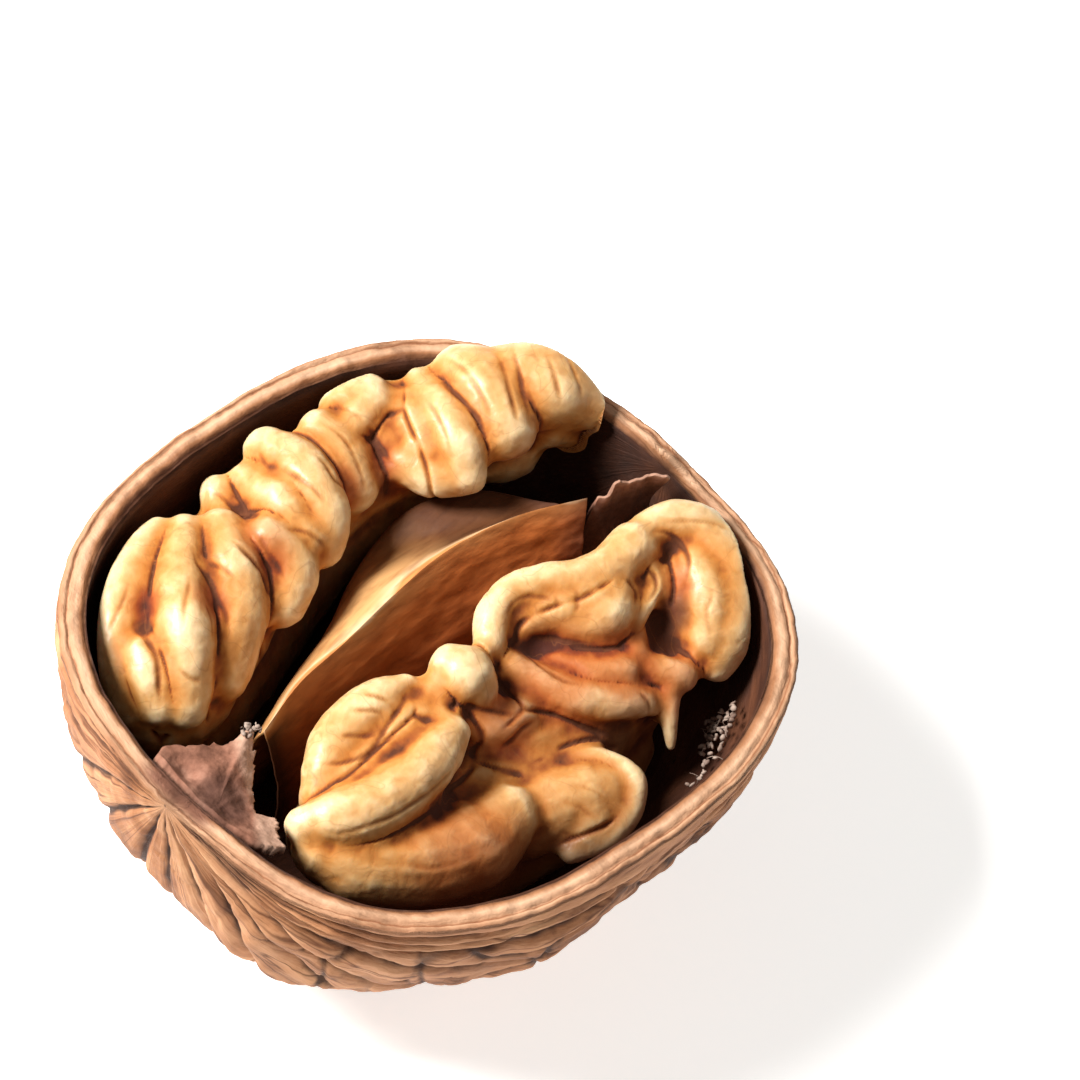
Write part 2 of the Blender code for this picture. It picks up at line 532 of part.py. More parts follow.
def sheet_between(name, foot, top, steps):
    low, high = smooth_path(foot, steps), smooth_path(top, steps)
    mesh = bmesh.new()
    rows = []
    for part in (0.0, 0.35, 0.7, 1.0):
        row = []
        for a, b in zip(low, high):
            spot = a * (1 - part) + b * part
            spot = spot + np.array([0.0, 0.5 * math.sin(math.pi * part), 0.0])
            row.append(mesh.verts.new((spot[0] * MM, spot[1] * MM, (spot[2] + REST_HEIGHT) * MM)))
        rows.append(row)
    for upper, lower in zip(rows, rows[1:]):
        for index in range(len(upper) - 1):
            mesh.faces.new((upper[index], upper[index + 1], lower[index + 1], lower[index]))
    data = bpy.data.meshes.new(name)
    mesh.to_mesh(data)
    mesh.free()
    return data


def flap_mesh(name):
    """A crumpled plate inside the given outline."""
    outline = np.array(STEM_FLAP)
    middle = np.array(FLAP_HUB)
    mesh = bmesh.new()
    centre = mesh.verts.new((middle[0] * MM, middle[1] * MM, (middle[2] + REST_HEIGHT) * MM))
    rings = []
    for part in (0.25, 0.5, 0.75, 1.0):
        ring = []
        for point in outline:
            spot = middle * (1 - part) + point * part
            crumple = 0.0 if part == 1.0 else noise.noise(Vector(spot) * 0.7) * 0.5
            ring.append(mesh.verts.new((spot[0] * MM, spot[1] * MM,
                                        (spot[2] + crumple + REST_HEIGHT) * MM)))
        rings.append(ring)
    count = len(outline)
    for index in range(count):
        after = (index + 1) % count
        mesh.faces.new((centre, rings[0][after], rings[0][index]))
        for small, large in zip(rings, rings[1:]):
            mesh.faces.new((small[index], small[after], large[after], large[index]))
    bmesh.ops.recalc_face_normals(mesh, faces=mesh.faces)
    data = bpy.data.meshes.new(name)
    mesh.to_mesh(data)
    mesh.free()
    return data


def add(name, data, holder, surface):
    made = bpy.data.objects.new(name, data)
    holder.objects.link(made)
    made.data.materials.clear()
    made.data.materials.append(surface)
    return made


clear_scene()
parts = collection(OBJECT_NAME, False)
cutters = collection("cutters", True)

shell_surface = material("shell", (0.50, 0.28, 0.15), 0.62)
kernel_surface = material("kernel", (0.62, 0.36, 0.13), 0.42)
partition_surface = material("partition", (0.42, 0.19, 0.07), 0.6)
flap_surface = material("papery_husk", (0.36, 0.20, 0.13), 0.8)

shell = add("shell_half", shell_mesh("shell_half", SHELL_ALONG, SHELL_AROUND), parts,
            shell_surface)
fewer = shell.modifiers.new("fewer", "DECIMATE")
fewer.ratio = SHELL_SHARE

slab = bmesh.new()
bmesh.ops.create_cube(slab, size=1.0)
slab_data = bpy.data.meshes.new("rest_slab")
slab.to_mesh(slab_data)
slab.free()
rest_slab = bpy.data.objects.new("rest_slab", slab_data)
rest_slab.scale = (SLAB_SIDE * MM, SLAB_SIDE * MM, SLAB_HEIGHT * MM)
rest_slab.location = (0.0, 0.0, -0.5 * SLAB_HEIGHT * MM)
rest_slab.hide_render = True
rest_slab.display_type = "WIRE"
cutters.objects.link(rest_slab)
flat = shell.modifiers.new("flat_spot", "BOOLEAN")
flat.operation = "DIFFERENCE"
flat.solver = "EXACT"
flat.object = rest_slab

left = kernel_mesh("kernel_left_lobe", LEFT_RIDGES, LEFT_FILL, KERNEL_VOXEL, KERNEL_SHARE)
add("kernel_left_lobe", left, parts, kernel_surface)
right = kernel_mesh("kernel_right_lobe", RIGHT_RIDGES, RIGHT_FILL, KERNEL_VOXEL,
                    KERNEL_SHARE)
add("kernel_right_lobe", right, parts, kernel_surface)

partition = add("partition", partition_mesh("partition"), parts, partition_surface)
thick = partition.modifiers.new("thick", "SOLIDIFY")
thick.thickness = PARTITION_THICKNESS * MM
thick.offset = -1.0

sheet = add("far_husk", sheet_between("far_husk", FAR_SHEET_FOOT, FAR_SHEET_TOP, 3), parts,
            flap_surface)
thick = sheet.modifiers.new("thick", "SOLIDIFY")
thick.thickness = SHEET_THICKNESS * MM
thick.offset = 0.0

flap = add("stem_husk", flap_mesh("stem_husk"), parts, flap_surface)
thick = flap.modifiers.new("thick", "SOLIDIFY")
thick.thickness = FLAP_THICKNESS * MM
thick.offset = -1.0
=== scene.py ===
import math

import bmesh
import bpy
import numpy as np
from mathutils import Matrix, Vector, kdtree, noise
from mathutils.bvhtree import BVHTree


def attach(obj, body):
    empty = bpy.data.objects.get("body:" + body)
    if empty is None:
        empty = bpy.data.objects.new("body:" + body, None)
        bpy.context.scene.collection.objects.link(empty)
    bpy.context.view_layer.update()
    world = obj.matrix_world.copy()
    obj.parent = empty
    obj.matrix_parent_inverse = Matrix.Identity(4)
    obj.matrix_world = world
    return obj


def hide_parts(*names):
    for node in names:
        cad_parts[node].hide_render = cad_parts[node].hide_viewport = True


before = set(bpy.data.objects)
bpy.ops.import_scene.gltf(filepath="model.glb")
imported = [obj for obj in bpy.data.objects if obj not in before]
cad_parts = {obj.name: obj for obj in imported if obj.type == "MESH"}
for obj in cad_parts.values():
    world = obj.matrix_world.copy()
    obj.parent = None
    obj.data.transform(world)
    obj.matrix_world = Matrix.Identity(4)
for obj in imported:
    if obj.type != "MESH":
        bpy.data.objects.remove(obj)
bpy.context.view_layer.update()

# Units and the height of the rim plane above the surface that the nut lies on
MM = 0.001
RIM_HEIGHT = 16.2


# Camera at the angle of the photograph: a long lens, turned a little to one side
VIEW_AZIMUTH = math.radians(-54.9)
VIEW_ELEVATION = math.radians(52.2)
VIEW_ROLL = math.radians(14.35)
VIEW_DISTANCE = 350.0
VIEW_ASIDE = 5.71
VIEW_ABOVE = 4.52

away = Vector((math.sin(VIEW_AZIMUTH) * math.cos(VIEW_ELEVATION),
               -math.cos(VIEW_AZIMUTH) * math.cos(VIEW_ELEVATION),
               math.sin(VIEW_ELEVATION)))
level = Vector((math.cos(VIEW_AZIMUTH), math.sin(VIEW_AZIMUTH), 0.0))
upward = away.cross(level)
right = level * math.cos(VIEW_ROLL) + upward * math.sin(VIEW_ROLL)
top = upward * math.cos(VIEW_ROLL) - level * math.sin(VIEW_ROLL)
middle = Vector((0.0, 0.0, RIM_HEIGHT))
eye = middle + away * VIEW_DISTANCE
aim = middle + right * VIEW_ASIDE + top * VIEW_ABOVE
back = (eye - aim).normalized()
top = (top - back * top.dot(back)).normalized()
right = top.cross(back)
lens = bpy.data.cameras.new("camera")
lens.sensor_width = 36.0
lens.lens = 221.6
lens.clip_start = 0.01
camera = bpy.data.objects.new("camera", lens)
bpy.context.scene.collection.objects.link(camera)
turn = Matrix((right, top, back)).transposed().to_4x4()
camera.matrix_world = Matrix.Translation(eye * MM) @ turn
bpy.context.scene.camera = camera


# Light: a soft key from the upper left of the picture, a weak fill from the right, and a
# pale surround
KEY_PLACE = (-0.17, 0.16, 0.24)
KEY_POWER = 2.45
FILL_PLACE = (0.22, -0.24, 0.20)
FILL_POWER = 0.16
SURROUND = 0.20


def area_light(name, place, power, side):
    data = bpy.data.lights.new(name, "AREA")
    data.energy = power
    data.size = side
    made = bpy.data.objects.new(name, data)
    made.location = place
    made.rotation_euler = (middle * MM - Vector(place)).to_track_quat("-Z", "Y").to_euler()
    bpy.context.scene.collection.objects.link(made)


area_light("key_light", KEY_PLACE, KEY_POWER, 0.11)
area_light("fill_light", FILL_PLACE, FILL_POWER, 0.25)
world = bpy.data.worlds.new("studio")
world.use_nodes = True
world.node_tree.nodes["Background"].inputs["Color"].default_value = (1.0, 0.99, 0.97, 1.0)
world.node_tree.nodes["Background"].inputs["Strength"].default_value = SURROUND
bpy.context.scene.world = world
bpy.context.scene.view_settings.view_transform = "Standard"
bpy.context.scene.view_settings.look = "None"


# Floor: a plain pale table top under the nut, with a faint glow that keeps its shadow soft
FLOOR_SIDE = 3.0
FLOOR_GLOW = 0.72
FLOOR_COLOUR = (0.90, 0.89, 0.87, 1.0)


def paint(name):
    """A new node material, its node tree and its shader."""
    made = bpy.data.materials.new(name)
    made.use_nodes = True
    return made, made.node_tree, made.node_tree.nodes["Principled BSDF"]


def node(tree, kind, settings=None, **values):
    """A node with its properties set, and its inputs set to values or linked to sockets."""
    made = tree.nodes.new("ShaderNode" + kind)
    for key, value in (settings or {}).items():
        setattr(made, key, value)
    for key, value in values.items():
        name = int(key[1:]) if key[1:].isdigit() else key.replace("_", " ")
        if isinstance(value, bpy.types.NodeSocket):
            tree.links.new(value, made.inputs[name])
        else:
            made.inputs[name].default_value = value
    return made


def ramp(tree, factor, stops):
    made = node(tree, "ValToRGB", Fac=factor)
    bar = made.color_ramp.elements
    while len(bar) < len(stops):
        bar.new(0.5)
    for element, (place, colour) in zip(bar, stops):
        element.position = place
        element.color = (*colour, 1.0)
    return made.outputs["Color"]


floor_data = bpy.data.meshes.new("floor")
half = FLOOR_SIDE / 2
floor_data.from_pydata([(-half, -half, 0), (half, -half, 0), (half, half, 0), (-half, half, 0)],
                       [], [(0, 1, 2, 3)])
floor = bpy.data.objects.new("floor", floor_data)
bpy.context.scene.collection.objects.link(floor)
floor_paint, tree, shader = paint("pale_floor")
speck = node(tree, "TexNoise", Vector=node(tree, "TexCoord").outputs["Object"], Scale=900.0)
shade = node(tree, "MixRGB", {"blend_type": "MULTIPLY"}, Fac=0.03, Color1=FLOOR_COLOUR,
             Color2=speck.outputs["Color"])
tree.links.new(shade.outputs["Color"], shader.inputs["Base Color"])
shader.inputs["Roughness"].default_value = 0.75
shader.inputs["Emission Color"].default_value = FLOOR_COLOUR
shader.inputs["Emission Strength"].default_value = FLOOR_GLOW
floor_data.materials.append(floor_paint)


# Shell half: a grown woody bowl, pale tan on its rim, with furrows that gather at both ends,
# a net of fine cracks and round dents outside, with shade painted in its low hollows, and a smooth
# brown lining inside, painted dark as shade.
# It lies on the table on its round underside.
HALF_LENGTH = 19.0
HALF_WIDTH = 17.5
DEPTH = 16.5
PLAN_POWER = 2.56
DEPTH_POWER = 2.3
CAVITY_HALF_LENGTH = 17.6
CAVITY_HALF_WIDTH = 16.1
CAVITY_DEPTH = 14.7
FLAT_LEVEL = -16.2
REST_POINT = (0.3, 1.0, -16.5)
REST_CALM = (2.8, 6.5)
FLANGE_HEIGHT = 2.6
FLANGE_OUT = 0.15
FLANGE_GROOVE = 0.40
CRACK_CELL = 5.2
CRACK_DEPTH = 0.40
CRACK_WIDTH = 0.058
LUMP_SIZE = 7.5
LUMP_OUT = 0.55
SHELL_ALONG = 330
SHELL_OUTSIDE = 216
SHELL_INSIDE = 30
# Long furrows: angle round the length, depth, width, reach from the stem and the far end,
# and how far the furrow curls round before it comes to the end
FURROWS = (
    (4, 0.20, 0.26, 0.80, 0.90, 0),
    (9, 0.28, 0.30, 0.60, 0.70, 3),
    (16, 0.28, 0.34, 0.45, 0.45, 8),
    (31, 0.16, 0.40, 0.30, 0.36, 12),
    (53, 0.24, 0.36, 0.36, 0.28, 6),
    (76, 0.30, 0.40, 0.30, 0.40, 4),
    (97, 0.14, 0.30, 0.26, 0.30, -6),
    (119, 0.36, 0.40, 0.40, 0.38, -12),
    (141, 0.66, 0.48, 0.46, 0.32, -24),
    (153, 0.30, 0.34, 0.40, 0.50, -16),
    (163, 0.55, 0.42, 0.62, 0.42, -17),
    (167, 0.34, 0.30, 0.85, 0.70, -6),
    (171, 0.36, 0.28, 0.90, 0.90, -2),
    (174, 0.30, 0.24, 0.95, 0.75, 0),
    (177, 0.24, 0.22, 0.90, 0.95, 0),
)
# Broad swellings: length position, angle round the length, radius, height
SWELLS = (
    (-16.9, 77, 4.6, 0.85),
    (-16.1, 121, 4.3, 1.1),
    (-4.0, 156, 7.0, 0.4),
)
# Small dark pits: length position, angle round the length, half length, half width
PITS = (
    (-15.9, 161, 0.35, 0.50),
    (-9.9, 168, 0.55, 0.35),
    (-9.0, 172, 0.50, 0.40),
    (-3.8, 171, 0.45, 0.35),
    (-2.4, 173, 0.30, 0.25),
    (0.5, 167, 0.40, 0.40),
    (5.5, 164, 0.45, 0.35),
    (-13.0, 152, 0.50, 0.30),
)
# Round dents: length position, angle round the length, radius, depth
DENTS = (
    (-6.0, 62, 2.6, 0.9),
    (3.5, 48, 2.2, 0.8),
    (8.5, 78, 2.8, 1.0),
    (-6.5, 90, 2.0, 0.6),
    (-7.5, 112, 2.4, 0.8),
    (5.0, 118, 2.7, 1.0),
    (0.5, 141, 1.8, 0.6),
    (11.0, 138, 2.0, 0.7),
    (10.5, 35, 1.9, 0.6),
    (-10.0, 140, 1.5, 0.4),
    (-16.4, 141, 2.2, 0.5),
    (-14.8, 64, 2.0, 0.4),
)


def form_radius(aims, length, width, depth):
    """Distance from the middle of the rim plane to a rounded box form, along each aim."""
    plan = (np.abs(aims[:, 0]) / length) ** PLAN_POWER
    plan = plan + (np.abs(aims[:, 1]) / width) ** PLAN_POWER
    down = (np.abs(aims[:, 2]) / depth) ** DEPTH_POWER
    return (plan ** (DEPTH_POWER / PLAN_POWER) + down) ** (-1.0 / DEPTH_POWER)


def cavity_radius(aims):
    return form_radius(aims, CAVITY_HALF_LENGTH, CAVITY_HALF_WIDTH, CAVITY_DEPTH)


def smooth_step(low, high, value):
    part = np.clip((value - low) / (high - low), 0.0, 1.0)
    return part * part * (3.0 - 2.0 * part)


def on_form(x, angle):
    """Point of the outer form at a length position and an angle round the length."""
    ring = (1.0 - min(1.0, abs(x) / HALF_LENGTH) ** PLAN_POWER) ** (1.0 / PLAN_POWER)
    spin = math.radians(angle)
    out = np.array([[x, HALF_WIDTH * ring * math.cos(spin), -DEPTH * ring * math.sin(spin)]])
    out = out / np.linalg.norm(out)
    return (out * form_radius(out, HALF_LENGTH, HALF_WIDTH, DEPTH)[:, None])[0]


def crack_net(points, cell, width):
    """How deep in a net of thin cracks each point lies, from 0 to 1."""
    depth = np.zeros(len(points))
    for index, point in enumerate(points):
        warp = noise.noise_vector(Vector(point) * 0.21) * 1.6
        place = (Vector(point) + warp) / cell
        place.x *= 0.72
        near = noise.voronoi(place)[0]
        edge = (near[1] - near[0]) / width
        depth[index] = math.exp(-edge * edge) * (0.55 + 0.45 * noise.noise(place * 0.9))
    return depth


def grain_noise(points, scale, octaves):
    return np.array([noise.fractal(Vector(point) * scale, 0.9, 2.1, octaves)
                     for point in points])


def furrows(points):
    """Depth of the long furrows that gather at both ends, and the dark line of painted shade along
    each.
    """
    ring = np.hypot(points[:, 1], points[:, 2])
    angle = np.degrees(np.arctan2(-points[:, 2], points[:, 1]))
    along = points[:, 0] / HALF_LENGTH
    depth = np.zeros(len(points))
    dark = np.zeros(len(points))
    for number, (centre, deep, wide, stem, far, curl) in enumerate(FURROWS):
        sway = 2.2 * np.sin(along * 4.1 + number * 1.7) * (1.0 - np.abs(along))
        sway = sway + curl * (1.0 - np.exp(-(1.0 - np.abs(along)) / 0.12))
        apart = np.radians(angle - centre - sway) * ring / np.clip(ring / 6.0, 0.30, 1.0)
        stem_side = smooth_step(2.0 * stem - 0.65, 2.0 * stem - 1.1, along)
        far_side = smooth_step(0.65 - 2.0 * far, 1.1 - 2.0 * far, along)
        reach = np.maximum(stem_side, far_side)
        depth = np.maximum(depth, deep * np.exp(-((apart / wide) ** 2)) * reach)
        dark = np.maximum(dark, np.exp(-((apart / (0.60 * wide)) ** 2)) * reach)
    return depth * smooth_step(0.2, 4.2, ring), dark * smooth_step(0.0, 2.2, ring)


def shell_relief(points):
    """How far the outer face stands out, how far each point is in a crack, and shade painted in
    hollows.
    """
    below = -points[:, 2]
    around = smooth_step(HALF_LENGTH, HALF_LENGTH - 4.5, np.abs(points[:, 0]))
    side = smooth_step(FLANGE_HEIGHT - 0.4, FLANGE_HEIGHT + 1.4, below)
    ends = smooth_step(HALF_LENGTH - 0.3, HALF_LENGTH - 5.0, np.abs(points[:, 0]))
    cracks = crack_net(points, CRACK_CELL, CRACK_WIDTH) * side * (0.3 + 0.7 * ends)
    fine = crack_net(points + 40.0, CRACK_CELL * 0.45, CRACK_WIDTH * 1.8) * side * ends
    broad = LUMP_OUT * (np.clip(grain_noise(points, 1.0 / LUMP_SIZE, 3), -0.9, 0.5) - 0.2)
    height = -0.15 + broad * side * (0.3 + 0.7 * ends)
    height = height - CRACK_DEPTH * cracks - 0.12 * fine
    groove = np.exp(-(((below - FLANGE_HEIGHT) / 0.6) ** 2))
    height = height - FLANGE_GROOVE * groove * around
    height = height + FLANGE_OUT * smooth_step(FLANGE_HEIGHT, FLANGE_HEIGHT - 1.0, below)
    long_lines, dark = furrows(points)
    dark_line_strength = 0.65 + 0.5 * grain_noise(points, 0.5, 2)
    height = height - 1.15 * long_lines - 0.10 * dark
    for x, angle, radius, deep in DENTS:
        apart = np.linalg.norm(points - on_form(x, angle), axis=1) / radius
        height = height - deep * np.exp(-(apart ** 2) * 1.6)
        height = height + 0.25 * deep * np.exp(-(((apart - 1.35) / 0.3) ** 2))
    for x, angle, radius, out in SWELLS:
        apart = np.linalg.norm(points - on_form(x, angle), axis=1) / radius
        height = height + out * np.exp(-(apart ** 2))
    for x, angle, long, wide in PITS:
        apart = (points - on_form(x, angle)) / np.array([long, wide, wide])
        pit = np.exp(-(apart ** 2).sum(axis=1))
        height = height - 0.32 * pit
        dark = np.maximum(dark, pit)
    height = height + 0.07 * grain_noise(points * np.array([0.5, 1.0, 1.0]), 1.1, 3)
    calm = smooth_step(*REST_CALM, np.linalg.norm(points - np.array(REST_POINT), axis=1))
    # Dark marks: the cracks and the pits, and the painted shade along the furrow bottoms.
    lines = np.clip(cracks + 0.5 * fine + dark * np.clip(dark_line_strength, 0.2, 1.0), 0.0, 1.0)
    # Painted shade: the low hollows of the outer face get a darker colour, as shade falls there.
    hollow_shade = np.clip((-0.28 - height) / 0.75, 0.0, 1.0)
    hollow_shade = hollow_shade * (0.25 + 0.75 * smooth_step(2.0, 7.0, np.hypot(points[:, 1], points[:, 2])))
    return height * calm, lines, hollow_shade


def rim_height(x, y):
    """The broken rim is a little uneven along its length."""
    wave = noise.noise(Vector((x * 0.16, y * 0.16, 3.7))) * 0.35
    return wave + noise.noise(Vector((x * 0.6, y * 0.6, 9.1))) * 0.12


def turned_aims(along, around):
    """Rows of aims from one rim to the other, closer together near the rims."""
    rows = []
    part = np.linspace(0.0, 1.0, around + 1)
    spin = np.pi * (part - 0.055 * np.sin(4.0 * np.pi * part) / 2.0)
    for step in range(1, along):
        tilt = math.pi * step / along
        rows.append(np.stack([np.full(around + 1, math.cos(tilt)),
                              math.sin(tilt) * np.cos(spin),
                              -math.sin(tilt) * np.sin(spin)], axis=1))
    return np.array(rows)


def finish_piece(name, data, nodes, surface):
    """An object of the mesh, smooth-shaded, that rides on the frame and replaces its node."""
    for face in data.polygons:
        face.use_smooth = True
    made = bpy.data.objects.new(name, data)
    bpy.context.scene.collection.objects.link(made)
    if surface.name not in data.materials:
        data.materials.append(surface)
    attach(made, "root")
    if nodes:
        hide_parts(*nodes)
    return made


def set_values(data, name, values):
    """Keeps one number for each point of the mesh."""
    layer = data.attributes.new(name, "FLOAT", "POINT")
    layer.data.foreach_set("value", np.asarray(values, dtype=np.float32))


aims = turned_aims(SHELL_ALONG, SHELL_OUTSIDE)
flat_aims = aims.reshape(-1, 3)
form = flat_aims * form_radius(flat_aims, HALF_LENGTH, HALF_WIDTH, DEPTH)[:, None]
relief, cracks, hollow_shade = shell_relief(form)
outer = form + flat_aims * relief[:, None]
outer[:, 2] = np.maximum(outer[:, 2], FLAT_LEVEL)
outer = outer.reshape(aims.shape)
cracks = cracks.reshape(aims.shape[:2])
hollow_shade = hollow_shade.reshape(aims.shape[:2])
inner_aims = turned_aims(SHELL_ALONG, SHELL_INSIDE)
flat_inner = inner_aims.reshape(-1, 3)
inner = flat_inner * cavity_radius(flat_inner)[:, None]
swell = 0.22 * grain_noise(inner, 0.2, 2) * smooth_step(0.5, 3.0, -inner[:, 2])
inner = (inner + flat_inner * swell[:, None]).reshape(inner_aims.shape)
mesh = bmesh.new()
tone_layer = mesh.verts.layers.float.new("crack")
hollow_shade_layer = mesh.verts.layers.float.new("hollow")
zone_layer = mesh.verts.layers.float.new("zone")
crown_layer = mesh.verts.layers.float.new("crown")
turn_layer = mesh.verts.layers.float.new("turn")
scar_layer = mesh.verts.layers.float.new("scar")
CROWN = (0.0, 0.06, 0.14, 0.22, 0.28, 0.34, 0.44, 0.54, 0.64, 0.74, 0.82, 0.90, 0.96, 1.0)
CROWN_LIFT = (0.0, 0.12, 0.18, 0.16, 0.06, 0.12, 0.22, 0.24, 0.20, 0.22, 0.14, 0.02, -0.06, -0.12)


def put(point, crack, zone, hollow=0.0, crown=0.0):
    x, y, z = point
    z = z + rim_height(x, y) * float(smooth_step(-2.0, 0.0, np.array(z)))
    scar = 0.0
    if zone == 1.0:
        beside = math.hypot((x + HALF_LENGTH) * 0.5, y)
        scar = float(smooth_step(3.4, 1.6, np.array(beside))) * min(1.0, crown * 2.2)
        z += 0.09 * noise.fractal(Vector((x * 1.4, y * 1.4, crown * 2.0)), 0.9, 2.1, 3)
    made = mesh.verts.new((x * MM, y * MM, (z + RIM_HEIGHT) * MM))
    made[tone_layer] = crack
    made[hollow_shade_layer] = hollow
    made[zone_layer] = zone
    made[crown_layer] = crown
    made[turn_layer] = math.atan2(-point[2], point[1])
    made[scar_layer] = scar
    return made


def crown_points(outside, inside):
    return [put(outside * (1 - t) + inside * t + np.array([0.0, 0.0, rise]), 0.0, 1.0, 0.0, t)
            for t, rise in zip(CROWN[1:-1], CROWN_LIFT[1:-1])]


def end_points(side, outside, inside):
    """The points where all rings of one end meet, on the outer face, the rim and the lining."""
    tip = np.array([side * (np.abs(outside[:, 0]).mean() + 0.02), 0.0, 0.0])
    hollow = np.array([side * (np.abs(inside[:, 0]).mean() + 0.02), 0.0, 0.0])
    return put(tip, 0.6, 0.0), crown_points(tip, hollow), put(hollow, 0.0, 2.0, 0.0, 1.0)


rings = []
for outside, dark, low, inside in zip(outer, cracks, hollow_shade, inner):
    ring = [put(point, value, 0.0, shade_dip) for point, value, shade_dip in zip(outside, dark, low)]
    ring += crown_points(outside[-1], inside[-1])
    ring += [put(point, 0.0, 2.0, 0.0, 1.0) for point in inside[::-1]]
    ring += crown_points(outside[0], inside[0])[::-1]
    rings.append(ring)
count = len(rings[0])
for first, second in zip(rings, rings[1:]):
    for index in range(count):
        after = (index + 1) % count
        mesh.faces.new((first[index], first[after], second[after], second[index]))
for side, at in ((1.0, 0), (-1.0, -1)):
    ring = rings[at]
    tip, crown, hollow = end_points(side, outer[at], inner[at])
    spine = [tip] * (SHELL_OUTSIDE + 1) + crown + [hollow] * (SHELL_INSIDE + 1) + crown[::-1]
    for index in range(count):
        after = (index + 1) % count
        corners = [ring[index], ring[after], spine[after], spine[index]]
        if spine[after] is spine[index]:
            corners = corners[:3]
        mesh.faces.new(corners)
bmesh.ops.recalc_face_normals(mesh, faces=mesh.faces)
shell_data = bpy.data.meshes.new("walnut_shell")
mesh.to_mesh(shell_data)
mesh.free()

shell_paint, tree, shader = paint("walnut_shell")
spot = node(tree, "TexCoord").outputs["Object"]
stretched = node(tree, "Mapping", Vector=spot, Scale=(0.30, 1.0, 1.0)).outputs["Vector"]
apart = node(tree, "SeparateXYZ", Vector=spot)
turn_value = node(tree, "Attribute", {"attribute_name": "turn"}).outputs["Fac"]
turned = node(tree, "Math", {"operation": "MULTIPLY"}, _0=turn_value, _1=0.012)
lengthwise = node(tree, "Math", {"operation": "MULTIPLY"}, _0=apart.outputs["X"], _1=0.16)
radiating = node(tree, "CombineXYZ", X=lengthwise.outputs[0], Y=turned.outputs[0]).outputs["Vector"]
broad = node(tree, "TexNoise", Vector=stretched, Scale=260.0, Detail=5.0, Roughness=0.6)
fibre = node(tree, "TexNoise", Vector=radiating, Scale=1300.0, Detail=6.0, Roughness=0.7)
strand = node(tree, "TexNoise", Vector=radiating, Scale=520.0, Detail=3.0, Distortion=0.35)
speck = node(tree, "TexNoise", Vector=spot, Scale=3800.0, Detail=3.0)
patch = node(tree, "TexNoise", Vector=spot, Scale=120.0, Detail=3.0)
tan = ramp(tree, broad.outputs["Fac"], ((0.30, (0.17, 0.062, 0.021)), (0.43, (0.35, 0.145, 0.056)),
                                        (0.55, (0.50, 0.240, 0.108)), (0.72, (0.64, 0.350, 0.180))))
pink = node(tree, "MapRange", Value=patch.outputs["Fac"], From_Min=0.40, From_Max=0.62,
            To_Max=0.45).outputs["Result"]
tan = node(tree, "MixRGB", Fac=pink, Color1=tan, Color2=(0.62, 0.325, 0.180, 1.0)).outputs["Color"]
streak = ramp(tree, fibre.outputs["Fac"], ((0.32, (0.30, 0.20, 0.14)), (0.47, (0.80, 0.72, 0.66)),
                                           (0.62, (1.0, 1.0, 1.0))))
outside_tan = node(tree, "MixRGB", {"blend_type": "MULTIPLY"}, Fac=0.90, Color1=tan,
                   Color2=streak).outputs["Color"]
off_middle = node(tree, "Math", {"operation": "SUBTRACT"}, _0=strand.outputs["Fac"], _1=0.5)
off_middle = node(tree, "Math", {"operation": "ABSOLUTE"}, _0=off_middle.outputs[0])
line_part = node(tree, "MapRange", Value=off_middle.outputs[0], From_Min=0.0, From_Max=0.020,
                 To_Min=0.90, To_Max=0.0).outputs["Result"]
outside_tan = node(tree, "MixRGB", Fac=line_part, Color1=outside_tan,
                   Color2=(0.12, 0.040, 0.015, 1.0)).outputs["Color"]
# Painted shade: the outer face is darkened in its low hollows.
hollow_shade_value = node(tree, "Attribute", {"attribute_name": "hollow"}).outputs["Fac"]
hollow_shade_part = node(tree, "MapRange", Value=hollow_shade_value, To_Max=0.80).outputs["Result"]
outside_tan = node(tree, "MixRGB", Fac=hollow_shade_part, Color1=outside_tan,
                   Color2=(0.15, 0.052, 0.020, 1.0)).outputs["Color"]
# The crack mark holds dark cracks and pits and painted shade along the furrows; it darkens the face.
crack_and_shade_value = node(tree, "Attribute", {"attribute_name": "crack"}).outputs["Fac"]
crack_and_shade_part = node(tree, "MapRange", Value=crack_and_shade_value, From_Min=0.16, From_Max=0.52,
                  To_Max=0.94).outputs["Result"]
cracked_and_shaded = node(tree, "MixRGB", Fac=crack_and_shade_part, Color1=outside_tan,
               Color2=(0.040, 0.012, 0.004, 1.0)).outputs["Color"]
crown_value = node(tree, "Attribute", {"attribute_name": "crown"}).outputs["Fac"]
frayed = node(tree, "MapRange", Value=broad.outputs["Fac"], From_Min=0.3, From_Max=0.7,
              To_Min=-0.11, To_Max=0.11).outputs["Result"]
layer = node(tree, "Math", {"operation": "ADD"}, _0=crown_value, _1=frayed).outputs["Value"]
rim_tan = ramp(tree, layer, ((0.04, (0.44, 0.215, 0.110)), (0.18, (0.64, 0.370, 0.215)),
                             (0.26, (0.30, 0.120, 0.050)), (0.32, (0.58, 0.320, 0.180)),
                             (0.58, (0.70, 0.430, 0.265)), (0.76, (0.40, 0.180, 0.080)),
                             (0.95, (0.09, 0.030, 0.011))))
rim_tan = node(tree, "MixRGB", {"blend_type": "MULTIPLY"}, Fac=0.75, Color1=rim_tan,
               Color2=streak).outputs["Color"]
scar_value = node(tree, "Attribute", {"attribute_name": "scar"}).outputs["Fac"]
rim_tan = node(tree, "MixRGB", Fac=scar_value, Color1=rim_tan,
               Color2=(0.20, 0.080, 0.045, 1.0)).outputs["Color"]
